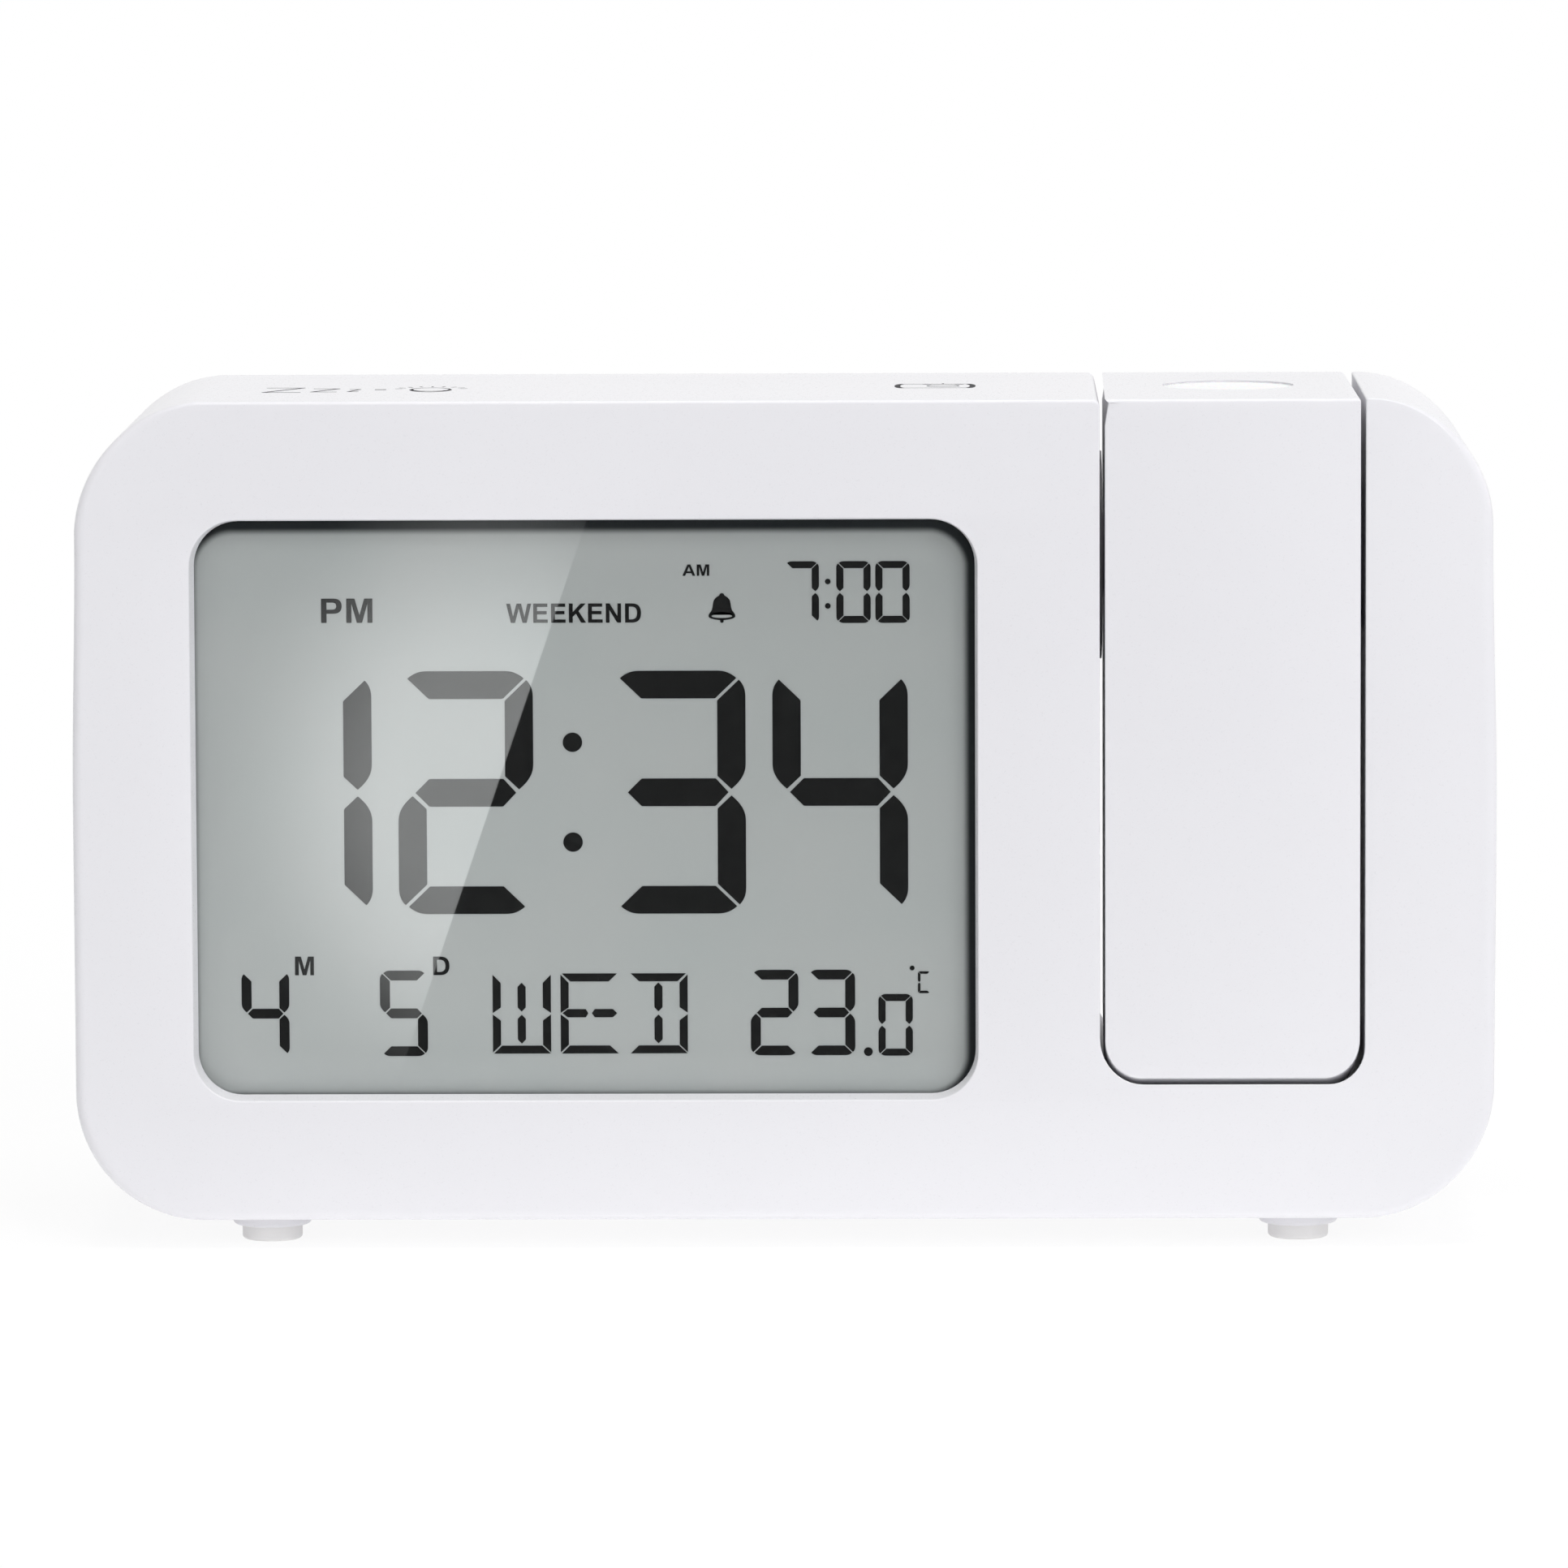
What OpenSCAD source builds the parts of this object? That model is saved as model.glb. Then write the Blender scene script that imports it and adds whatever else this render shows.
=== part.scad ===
// Projection alarm clock: a flat case with a wide display and a projector arm in a slot.
// X runs to the right, Y to the back and Z up. The origin lies on the table, under the
// middle of the whole clock. The arm turns about an axis along X, at mid depth.

/* [Case] */
// Width of the case
body_w = 150; // [146:1:182]
// Height of the case shell, without its feet
body_h = 86.7; // [84:0.1:106]
// Depth of the case shell
body_d = 40; // [37:0.5:50]
// Radius of the case's corners, seen from the front
corner_r = 13.6; // [12:0.1:16.5]
// Radius of the rounded edge round the front face
edge_r = 1.3; // [0.6:0.1:1.8]
// Thickness of the side, top and bottom walls
wall = 2.2; // [1.6:0.1:2.7]
// Thickness of the front wall, which is the depth of the display recess
front_wall = 2.5; // [1.8:0.1:3.1]
// Thickness of the rear cover
cover_t = 2; // [1.8:0.1:2.4]
// How far buttons and focus knob stand proud of the case's rear
proud = 1; // [0.6:0.1:1.8]

/* [Display] */
// Width of the frame left of the display
window_left = 12.6; // [12:0.1:15.5]
// Width of the frame between the display and the arm's slot
window_right = 13.04; // [12.8:0.01:16]
// Height of the frame above and below the display
window_rim = 12.7; // [11.8:0.05:15]
// Corner radius of the display opening
window_r = 4.9; // [2:0.1:7]

/* [Arm] */
// Width of the projector arm
arm_w = 26.84; // [25.6:0.02:30]
// Distance from the arm's middle to the case's right side
arm_inset = 27.8; // [27.4:0.1:33]
// Gap on each side of the arm
side_gap = 0.54; // [0.4:0.02:0.8]
// Gap between the arm's curved end and the slot's floor
floor_gap = 0.6; // [0.3:0.05:1.5]
// Height of the bridge below the slot, at its lowest
bridge_h = 10.7; // [9.4:0.1:13]
// Depth of the pivot below the top of the case
pivot_drop = 18.1; // [17:0.1:20]
// Wall thickness of the arm
arm_wall = 1.6; // [1.3:0.1:1.9]
// Radius of the arm's lower corners, seen from the front
arm_corner = 3.8; // [2.2:0.1:5]
// Radius of the round lens cover in the arm's top
lens_cover_r = 6.95; // [6.2:0.05:7.4]

/* [Controls] */
// Width of a rear button
button_w = 7; // [5:0.1:8.4]
// Height of a rear button
button_h = 5; // [4:0.1:6]
// Travel of a rear button
button_travel = 0.6; // [0.3:0.05:0.8]
// Travel of the slide switch
switch_travel = 3; // [2:0.1:3.6]
// Focus travel of the lens, each way from the middle
focus_travel = 1.5; // [0.5:0.1:1.6]

/* [Feet] */
// Height of a foot with its pad
foot_h = 3.2; // [2.6:0.1:4.4]
// Radius of a foot's boss
foot_r = 4.2; // [3.8:0.1:5.4]
// Distance from a foot's middle to the case's side
foot_inset = 20.6; // [18.5:0.1:26]

/* [Hidden] */
$fn = 64;

over = 1;            // how far a cutter runs past the face it cuts
bite = 0.1;          // how far a boss or rib runs into the wall that carries it
fit = 0.05;          // gap round a shaft, a screw or a pressed piece
loose = 0.2;         // gap round a piece that slides or swings in an opening

// Faces of the case
front_y = -(body_d + proud) / 2;
rear_y = front_y + body_d;
mid_y = (front_y + rear_y) / 2;
proud_y = rear_y + proud;
left_x = -body_w / 2;
right_x = body_w / 2;
base_z = foot_h;
top_z = base_z + body_h;
mid_z = (base_z + top_z) / 2;
inner_y = front_y + front_wall;

// Rear cover, set into the case's rim
cover_step = 0.5;
cover_gap = 0.1;
drum_gap = 0.25;
cover_y1 = rear_y - cover_step;
cover_y0 = cover_y1 - cover_t;

// Slot for the arm and the block of walls round it
slot_wall = 1.8;
slot_w = arm_w + 2 * side_gap;
arm_x = right_x - arm_inset;
slot_x0 = arm_x - slot_w / 2;
slot_x1 = arm_x + slot_w / 2;
block_x0 = slot_x0 - slot_wall;
block_x1 = slot_x1 + slot_wall;
block_z0 = base_z + bridge_h - slot_wall;
pivot_z = top_z - pivot_drop;
slot_r = pivot_z - base_z - bridge_h;
slot_corner = arm_corner + 1;

// Posts for the case screws, and the pads of the rear cover that they meet
post_r = 2.9;
pad_r = 3.6;
pad_t = 3.5;
pad_y = cover_y1 - pad_t;
corner_in = 8.5;
edge_in = 4.1;
case_posts = [
    [left_x + corner_in, top_z - corner_in],
    [left_x + corner_in, base_z + corner_in],
    [block_x0 - edge_in, top_z - 7],
    [block_x0 - edge_in, base_z + 6.3],
    [right_x - 8.2, top_z - 9],
    [right_x - 8.2, base_z + 9]
];

// Screws: two sizes, each as [shank radius, head radius, head height]
case_screw = [1.1, 2.4, 1.4];
small_screw = [0.75, 1.7, 1.1];
head_sink = 0.5;
case_screw_l = 9;

// Display stack, from the front to the back
window_w = slot_x0 - window_right - left_x - window_left;
window_h = body_h - 2 * window_rim;
window_x = left_x + window_left + window_w / 2;
window_z = mid_z;
window_t = 1.2;
window_lip = 2;
gasket_t = 0.6;
lcd_t = 2;
guide_t = 2.5;
plate_t = 1.5;
board_t = 1.6;
lcd_lip = 1.2;
holder_wall = 1.3;
gasket_y = inner_y + window_t;
lcd_y = gasket_y + gasket_t;
guide_y = lcd_y + lcd_t;
plate_y0 = guide_y + guide_t;
board_y = plate_y0 + plate_t;
board_rear_y = board_y + board_t;
lcd_w = window_w + 2 * lcd_lip;
lcd_h = window_h + 2 * lcd_lip;
holder_w = lcd_w + 2 * holder_wall;
holder_h = lcd_h + 2 * holder_wall;
guide_w = window_w - 6.6;
guide_h = window_h - 7;
zebra_z = window_h / 2 - 1.1;
zebra_t = 1.8;
zebra_w = guide_w - 2;
board_top_z = window_z + holder_h / 2;
ear_dx = holder_w / 2 + 2.5;
ear_dz = holder_h * 0.27;
ear_r = 2.2;
ear_y = plate_y0 - 1.5;
ears = [for (sx = [-1, 1], sz = [-1, 1]) [window_x + sx * ear_dx, window_z + sz * ear_dz]];
board_fix_dx = guide_w / 2 + 2.2;
board_fix_dz = zebra_z;
board_fixes = [for (sx = [-1, 1], sz = [-1, 1])
    [window_x + sx * board_fix_dx, window_z + sz * board_fix_dz]];
led_places = [for (i = [-1.5, -0.5, 0.5, 1.5]) window_x + i * guide_w / 4.4];
led_w = 3;
led_h = 1.5;
led_t = 1.2;

// Touch keys under the top wall: [middle x, width] of each
electrode_y = front_y + 13.5;
electrode_t = 0.3;
touch_keys = [[left_x + 30, 24], [slot_x0 - 17.4, 10]];
touch_depth = 10;
touch_board_t = 1.2;
touch_board_x0 = left_x + 15;
touch_board_x1 = block_x0 - edge_in - post_r - 2.4;

// Key board behind the rear cover, with the buttons, the slide switch and the inlet
key_y0 = cover_y0 - 8;
key_y1 = key_y0 + board_t;
key_z = pivot_z - 9.5;
key_h = 12;
key_post_r = 2.2;
key_x0 = left_x + 12;
key_x1 = block_x0 - 7.4;
key_fixes = [[key_x0 + 3, key_z], [key_x1 - 3, key_z]];
button_pitch = 12;
button_x0 = key_x0 + 11;
button_count = 5;
ribbon_x = button_x0 + 1.5 * button_pitch;
button_r = 1.5;
button_flange = 0.8;
flange_t = 1.2;
stem_r = 1.45;
stem_gap = 0.15;
tact_w = 6;
tact_t = 3.5;
stem_y = key_y1 + 3;
switch_x = button_x0 + button_count * button_pitch + 3;
leg_w = 20;
usb_x = key_x1 - leg_w / 2;
usb_z = base_z + 22.8;
leg_z0 = usb_z - 6;

// Battery bay in the rear cover, for two AAA cells lying along X
cell_r = 5.25;
cell_l = 44.5;
cell_pitch = 11.4;
bay_x0 = left_x + 15;
bay_w = 50;
bay_z0 = base_z + 10.6;
bay_h = 2 * cell_pitch;
bay_wall = 1.2;
cell_y = cover_y0 - cell_r + 0.05;
bay_floor_y = cell_y - cell_r - 0.25;
cell_zs = [bay_z0 + cell_pitch / 2, bay_z0 + 1.5 * cell_pitch];
contact_t = 0.4;
nub_r = 1.9;
nub_l = 0.9;
spring_l = bay_w - cell_l - 2 * contact_t;

// Battery door, hinged along its lower edge
door_gap = 0.3;
door_t = cover_t - loose;
door_r = door_t / 2;
door_y = cover_y1 - door_r;
door_z = bay_z0 + door_gap + door_r;
pin_r = 0.55;
pin_l = 1;

// Sound and air: the buzzer's place and the vents' place on the rear cover
buzzer_x = left_x + 55;
buzzer_z = top_z - 12;
buzzer_r = 8;
buzzer_t = 7.8;
vent_x = left_x + 30;
vent_z = key_z - 14;

// Pivots: bushes in the slot's walls and trunnions in the arm
arm_r = slot_r - floor_gap;
arm_x0 = arm_x - arm_w / 2;
arm_x1 = arm_x + arm_w / 2;
arm_in_x0 = arm_x0 + arm_wall;
arm_in_x1 = arm_x1 - arm_wall;
hub_gap = 0.08;
hub_t = side_gap - hub_gap;
left_hub_r = 11.1;
right_hub_r = 7.8;
left_pin_r = 4.5;
right_pin_r = 3;
bush_wall = 1.4;
trunnion_flange_r = 7;
trunnion_flange_t = 1.2;
cable_r = 0.9;
ring_t = 0.6;
ring_x = block_x0 - 1.55;
washer_t = 0.7;
left_pin_x = ring_x - 0.7;
cable_x = left_pin_x - 0.2;

// Optics, measured down from the arm's top, all on the arm's middle line
lens_flange_t = 0.8;
barrel_z1 = top_z - arm_wall - lens_flange_t - focus_travel - 0.4;
barrel_l = 17;
barrel_z0 = barrel_z1 - barrel_l;
barrel_r = 6.5;
barrel_wall = 0.9;
lens_r = barrel_r - barrel_wall - fit;
tube_r = 8;
tube_bore = barrel_r + 0.1;
tube_z1 = barrel_z1 - 6;
slide_z = tube_z1 - 21;
tube_z0 = slide_z - 14;
led_board_z1 = tube_z0 - 2.4;
led_board_z0 = led_board_z1 - board_t;
tube_ear_z = tube_z0 + 4;
tube_ear_dx = 9.9;
tube_ear_y = mid_y - 4.8;
tube_ear_r = 1.9;
tube_ears = [arm_x - tube_ear_dx, arm_x + tube_ear_dx];

// Focus drive: a pinion on the knob's shaft and a rack on the lens barrel
gear_module = 0.5;
gear_teeth = 10;
pitch_r = gear_module * gear_teeth / 2;
tooth_pitch = PI * gear_module;
tip_h = 0.3;
root_h = 0.6;
focus_z = pivot_z - 17;
rack_y0 = mid_y + tube_r + 1.4;
rack_y1 = rack_y0 + 2.4;
rack_back = 4.9;
rack_arm_z = barrel_z0 + 2.2;
rack_arm_h = 3;
knob_r = 5.2;
well_r = 8.2;
well_floor = 1.5;
well_depth = 2.7;

// Screws of the arm's rear cover
arm_post_r = 2.2;
arm_post_l = 8;
arm_fixes = [
    [arm_x - 9.7, top_z - arm_wall - 4.6], [arm_x + 9.7, top_z - arm_wall - 4.6],
    [arm_x - 7.5, pivot_z - arm_r + 13], [arm_x + 7.5, pivot_z - arm_r + 13]
];

// ---- shared shapes ----

module box(x0, x1, y0, y1, z0, z1) {
    translate([x0, y0, z0]) cube([x1 - x0, y1 - y0, z1 - z0]);
}

module rod_x(y, z, x0, x1, r) {
    translate([x0, y, z]) rotate([0, 90, 0]) cylinder(h = x1 - x0, r = r);
}

module rod_y(x, z, y0, y1, r) {
    translate([x, y0, z]) rotate([-90, 0, 0]) cylinder(h = y1 - y0, r = r);
}

module rod_z(x, y, z0, z1, r) {
    translate([x, y, z0]) cylinder(h = z1 - z0, r = r);
}

// A flat shape drawn in X and Z, made solid from y0 to y1
module plate_y(y0, y1) {
    translate([0, y1, 0]) rotate([90, 0, 0]) linear_extrude(y1 - y0) children();
}

module rounded_rect(w, h, r) {
    square([w - 2 * r, h], center = true);
    square([w, h - 2 * r], center = true);
    for (sx = [-1, 1], sy = [-1, 1])
        translate([sx * (w / 2 - r), sy * (h / 2 - r)]) circle(r);
}

// Side view of a slab whose front edges are rounded by e
module slab_profile(l, d, e) {
    translate([-l / 2, e]) square([l, d - e]);
    translate([-l / 2 + e, 0]) square([l - 2 * e, d]);
    for (s = [-1, 1]) translate([s * (l / 2 - e), e]) circle(e);
}

// Half of the same view for a round corner, from its middle line out
module corner_profile(r, d, e) {
    translate([0, e]) square([r, d - e]);
    square([r - e, d]);
    translate([r - e, e]) circle(e);
}

// A rounded slab with its soft edge at y = 0, running back to y = d
module soft_slab(w, h, d, r, e) {
    rotate([-90, 0, 0]) {
        rotate([90, 0, 90]) linear_extrude(w - 2 * r, center = true) slab_profile(h, d, e);
        rotate([90, 0, 0]) linear_extrude(h - 2 * r, center = true) slab_profile(w, d, e);
        for (sx = [-1, 1], sy = [-1, 1])
            translate([sx * (w / 2 - r), sy * (h / 2 - r), 0])
                rotate_extrude() corner_profile(r, d, e);
    }
}

// A drum round the pivot axis with rounded rims: the shape that the arm's end sweeps
module swing_drum(r, half_w, rim) {
    translate([arm_x, mid_y, pivot_z]) rotate([0, 90, 0]) rotate_extrude() {
        translate([0, -half_w]) square([r - rim, 2 * half_w]);
        translate([0, rim - half_w]) square([r, 2 * (half_w - rim)]);
        for (s = [-1, 1]) translate([r - rim, s * (half_w - rim)]) circle(rim);
    }
}

// The case's hollow, seen from the front and drawn in by c
module cavity_outline(c) {
    side = wall + c;
    difference() {
        translate([0, mid_z]) rounded_rect(body_w - 2 * side, body_h - 2 * side, corner_r - side);
        translate([block_x0 - c, block_z0 - c]) square([block_x1 - block_x0 + 2 * c, body_h]);
    }
}

// A screw along Y with its head towards the back, the head's rear face at y
module screw_y(x, z, y, size, l) {
    slot_t = 0.5;
    slot_d = 0.5;
    difference() {
        union() {
            rod_y(x, z, y - size[2], y, size[1]);
            rod_y(x, z, y - size[2] - l, y - size[2] + bite, size[0]);
        }
        for (a = [0, 90]) translate([x, y, z]) rotate([0, a, 0])
            cube([size[1] * 1.3, 2 * slot_d, slot_t], center = true);
    }
}

// A coil spring along Z from z = 0 to z = h, swept as a closed tube
module coil(r, wire_r, turns, h) {
    sides = 6;
    steps = 16;
    count = turns * steps;
    rise = h - 2 * wire_r;
    points = [for (i = [0 : count], j = [0 : sides - 1])
        let (a = 360 * i / steps, b = 360 * j / sides, q = r + wire_r * cos(b))
        [q * cos(a), q * sin(a), wire_r + rise * i / count + wire_r * sin(b)]];
    skin = [for (i = [0 : count - 1], j = [0 : sides - 1])
        let (k = (j + 1) % sides)
        [i * sides + j, i * sides + k, (i + 1) * sides + k, (i + 1) * sides + j]];
    start_cap = [for (j = [0 : sides - 1]) sides - 1 - j];
    end_cap = [for (j = [0 : sides - 1]) count * sides + j];
    polyhedron(points, concat(skin, [start_cap], [end_cap]), convexity = 6);
}

// ---- case ----

module front_housing() {
    pad_seat = 0.6;
    bore_l = 10;
    ear_bore_l = 4;
    color("white") difference() {
        union() {
            difference() {
                translate([0, front_y, mid_z])
                    soft_slab(body_w, body_h, body_d, corner_r, edge_r);
                plate_y(inner_y, rear_y + over) cavity_outline(0);
                plate_y(front_y - over, inner_y + over) translate([window_x, window_z])
                    rounded_rect(window_w, window_h, window_r);
            }
            for (p = case_posts) rod_y(p[0], p[1], inner_y - bite, pad_y, post_r);
            for (p = ears) rod_y(p[0], p[1], inner_y - bite, ear_y, ear_r);
            for (f = foot_places()) rod_z(f[0], f[1], foot_h / 2, base_z + bite, foot_r);
        }
        swing_drum(slot_r, slot_w / 2, slot_corner);
        rod_x(mid_y, pivot_z, block_x0 - over, slot_x0 + over, left_pin_r + bush_wall + 2 * fit);
        rod_x(mid_y, pivot_z, slot_x1 - over, block_x1 + over, right_pin_r + bush_wall + 2 * fit);
        for (p = case_posts) rod_y(p[0], p[1], pad_y - bore_l, pad_y + over, case_screw[0] + fit);
        for (p = ears) rod_y(p[0], p[1], ear_y - ear_bore_l, ear_y + over, small_screw[0] + fit);
        for (f = foot_places())
            rod_z(f[0], f[1], foot_h / 2 - over, foot_h / 2 + pad_seat, pad_radius() + fit);
    }
}

function foot_places() = [for (sx = [-1, 1], sy = [-1, 1])
    [sx * (right_x - foot_inset), mid_y + sy * body_d * 0.29]];

function pad_radius() = foot_r - 1;

module foot_pads() {
    seat = 0.6;
    color("gainsboro") for (f = foot_places())
        rod_z(f[0], f[1], 0, foot_h / 2 + seat - fit, pad_radius());
}

module left_bush() {
    sleeve_r = left_pin_r + bush_wall + fit;
    color("dimgray") difference() {
        union() {
            rod_x(mid_y, pivot_z, block_x0, slot_x0 + bite, sleeve_r);
            rod_x(mid_y, pivot_z, slot_x0, slot_x0 + hub_t, left_hub_r);
        }
        rod_x(mid_y, pivot_z, block_x0 - over, slot_x0 + over, left_pin_r + fit);
    }
}

module right_bush() {
    sleeve_r = right_pin_r + bush_wall + fit;
    color("dimgray") difference() {
        union() {
            rod_x(mid_y, pivot_z, slot_x1 - bite, block_x1, sleeve_r);
            rod_x(mid_y, pivot_z, slot_x1 - hub_t, slot_x1, right_hub_r);
        }
        rod_x(mid_y, pivot_z, slot_x1 - over, block_x1 + over, right_pin_r + fit);
    }
}

// ---- rear cover ----

module vent_slots() {
    slot_l = 9;
    slot_h = 1.2;
    rows = 4;
    for (i = [0 : rows - 1])
        translate([vent_x, vent_z + 2.4 * (i - (rows - 1) / 2)])
            rounded_rect(slot_l, slot_h, slot_h / 2 - 0.01);
}

module grille_holes() {
    hole_r = 0.8;
    ring_step = 2.6;
    translate([buzzer_x, buzzer_z]) {
        circle(hole_r);
        for (ring = [1, 2], i = [0 : 6 * ring - 1])
            rotate(i * 60 / ring) translate([ring * ring_step, 0]) circle(hole_r);
    }
}

module rear_cover() {
    post_bore_l = 5;
    usb_hole_w = 10;
    usb_hole_h = 4.2;
    knob_slot_w = knob_w() + switch_travel + 0.6;
    color("whitesmoke") difference() {
        union() {
            plate_y(cover_y0, cover_y1) cavity_outline(cover_gap);
            intersection() {
                for (p = case_posts) rod_y(p[0], p[1], pad_y, cover_y0 + bite, pad_r);
                plate_y(pad_y - over, cover_y1) cavity_outline(cover_gap);
            }
            box(bay_x0 - bay_wall, bay_x0 + bay_w + bay_wall, bay_floor_y - bay_wall,
                cover_y0 + bite, bay_z0 - bay_wall, bay_z0 + bay_h + bay_wall);
            for (p = key_fixes) rod_y(p[0], p[1], key_y1, cover_y0 + bite, key_post_r);
            difference() {
                rod_y(buzzer_x, buzzer_z, cover_y0 - 2, cover_y0 + bite, buzzer_r + bay_wall);
                rod_y(buzzer_x, buzzer_z, cover_y0 - 2 - over, cover_y0, buzzer_r + fit);
            }
        }
        for (p = case_posts) {
            rod_y(p[0], p[1], pad_y - over, cover_y1 + over, case_screw[0] + fit);
            rod_y(p[0], p[1], cover_y1 - head_sink - case_screw[2], cover_y1 + over,
                case_screw[1] + loose);
        }
        for (p = key_fixes)
            rod_y(p[0], p[1], key_y1 - over, key_y1 + post_bore_l, small_screw[0] + fit);
        box(bay_x0, bay_x0 + bay_w, bay_floor_y, cover_y1 + over, bay_z0, bay_z0 + bay_h);
        for (s = contact_sides) tail_hole(s);
        rod_x(door_y, door_z, bay_x0 - pin_l - loose, bay_x0 + bay_w + pin_l + loose, pin_r + fit);
        plate_y(cover_y0 - over, cover_y1 + over) {
            for (i = [0 : button_count - 1]) translate([button_x(i), key_z])
                rounded_rect(button_w + 2 * loose, button_h + 2 * loose, button_r + loose);
            translate([switch_x, key_z]) square([knob_slot_w, knob_h() + 2 * loose], center = true);
            translate([usb_x, usb_z]) rounded_rect(usb_hole_w, usb_hole_h, usb_hole_h / 2 - 0.01);
            vent_slots();
            grille_holes();
        }
    }
}

function button_x(i) = button_x0 + i * button_pitch;
function knob_w() = 2.4;
function knob_h() = 2;

module case_screws() {
    color("silver") for (p = case_posts)
        screw_y(p[0], p[1], cover_y1 - head_sink, case_screw, case_screw_l);
}

// ---- display ----

module display_window() {
    color("lightgray", 0.4) plate_y(inner_y, gasket_y) translate([window_x, window_z])
        rounded_rect(window_w + 2 * window_lip, window_h + 2 * window_lip, window_r);
}

module display_gasket() {
    ledge = 0.4;
    color("black") plate_y(gasket_y, lcd_y) translate([window_x, window_z]) difference() {
        rounded_rect(lcd_w, lcd_h, window_r);
        rounded_rect(window_w + 2 * ledge, window_h + 2 * ledge, window_r);
    }
}

module lcd_panel() {
    color("darkgray") plate_y(lcd_y, guide_y) translate([window_x, window_z])
        square([lcd_w, lcd_h], center = true);
}

module light_guide() {
    color("white", 0.7) plate_y(guide_y, plate_y0) translate([window_x, window_z])
        square([guide_w, guide_h], center = true);
}

module zebra_strips() {
    color("dimgray") plate_y(guide_y, board_y) for (s = [-1, 1])
        translate([window_x, window_z + s * zebra_z]) square([zebra_w, zebra_t], center = true);
}

module lcd_holder() {
    bore_l = 3.4;
    tab_t = 1.5;
    color("lightgray") difference() {
        union() {
            plate_y(lcd_y, board_y) translate([window_x, window_z])
                rounded_rect(holder_w, holder_h, 1.5);
            for (p = ears) {
                rod_y(p[0], p[1], ear_y, ear_y + tab_t, ear_r);
                inward = p[0] < window_x ? 1 : -1;
                edge_x = window_x - inward * (holder_w / 2 - bite);
                box(min(p[0], edge_x), max(p[0], edge_x), ear_y, ear_y + tab_t,
                    p[1] - ear_r, p[1] + ear_r);
            }
        }
        plate_y(lcd_y - over, guide_y) translate([window_x, window_z])
            square([lcd_w + 2 * fit, lcd_h + 2 * fit], center = true);
        plate_y(guide_y - over, plate_y0) translate([window_x, window_z])
            square([guide_w + 2 * fit, guide_h + 2 * fit], center = true);
        plate_y(guide_y - over, board_y + over) for (s = [-1, 1])
            translate([window_x, window_z + s * zebra_z])
                square([zebra_w + 2 * fit, zebra_t + 2 * fit], center = true);
        plate_y(plate_y0 - over, board_y + over) for (x = led_places)
            translate([x, window_z]) square([led_w + 2 * loose, led_h + 2 * loose], center = true);
        for (p = ears) rod_y(p[0], p[1], ear_y - over, ear_y + tab_t + over, small_screw[0] + fit);
        for (p = board_fixes)
            rod_y(p[0], p[1], board_y - bore_l, board_y + over, small_screw[0] + fit);
    }
}

// ---- boards and what sits on them ----

module main_board() {
    color("darkgreen") plate_y(board_y, board_rear_y) difference() {
        translate([window_x, window_z]) rounded_rect(holder_w - 1.2, holder_h, 1);
        for (p = board_fixes) translate(p) circle(small_screw[0] + fit);
    }
}

module backlight_leds() {
    color("ivory") for (x = led_places)
        box(x - led_w / 2, x + led_w / 2, board_y - led_t, board_y,
            window_z - led_h / 2, window_z + led_h / 2);
}

// Chips as [x, z, width, height] from the middle of the main board
module board_chips() {
    chip_t = 1.3;
    chips = [[-4, 0, 14, 14], [14, 9, 5, 10], [-26, -22, 10, 5], [20, -18, 7, 7]];
    color("black") for (c = chips)
        box(window_x + c[0] - c[2] / 2, window_x + c[0] + c[2] / 2, board_rear_y,
            board_rear_y + chip_t, window_z + c[1] - c[3] / 2, window_z + c[1] + c[3] / 2);
}

module crystal_can() {
    can_r = 1.05;
    can_l = 6.2;
    color("silver") rod_x(board_rear_y + can_r + fit, window_z - 11, window_x - 8,
        window_x - 8 + can_l, can_r);
}

module capacitors() {
    can_r = 2.5;
    can_l = 5.2;
    ribbon_side = 20.1;
    places = [[window_x + 26, window_z - 6], [window_x + 32, window_z - 6],
        [ribbon_x - ribbon_side, key_z]];
    color("midnightblue") for (p = places)
        rod_y(p[0], p[1], board_rear_y, board_rear_y + can_l, can_r);
}

module touch_board() {
    color("darkgreen") box(touch_board_x0, touch_board_x1, electrode_y - touch_depth / 2,
        electrode_y + touch_depth / 2 + 2, board_top_z, board_top_z + touch_board_t);
}

module touch_springs() {
    spring_r = 2.4;
    wire_r = 0.3;
    turns = 5;
    foot_z = board_top_z + touch_board_t;
    head_z = top_z - wall - electrode_t;
    color("silver") for (k = touch_keys)
        translate([k[0], electrode_y, foot_z]) coil(spring_r, wire_r, turns, head_z - foot_z);
}

module touch_electrodes() {
    color("goldenrod") for (k = touch_keys)
        box(k[0] - k[1] / 2, k[0] + k[1] / 2, electrode_y - touch_depth / 2,
            electrode_y + touch_depth / 2, top_z - wall - electrode_t, top_z - wall);
}

module key_board() {
    color("darkgreen") difference() {
        union() {
            box(key_x0, key_x1, key_y0, key_y1, key_z - key_h / 2, key_z + key_h / 2);
            box(usb_x - leg_w / 2, usb_x + leg_w / 2, key_y0, key_y1, leg_z0, key_z);
        }
        for (p = key_fixes) rod_y(p[0], p[1], key_y0 - over, key_y1 + over, small_screw[0] + fit);
    }
}

module key_switches() {
    well_y = stem_y - button_travel - 0.4;
    color("dimgray") for (i = [0 : button_count - 1]) difference() {
        box(button_x(i) - tact_w / 2, button_x(i) + tact_w / 2, key_y1, key_y1 + tact_t,
            key_z - tact_w / 2, key_z + tact_w / 2);
        rod_y(button_x(i), key_z, well_y, key_y1 + tact_t + over, stem_r + stem_gap);
    }
}

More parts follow.
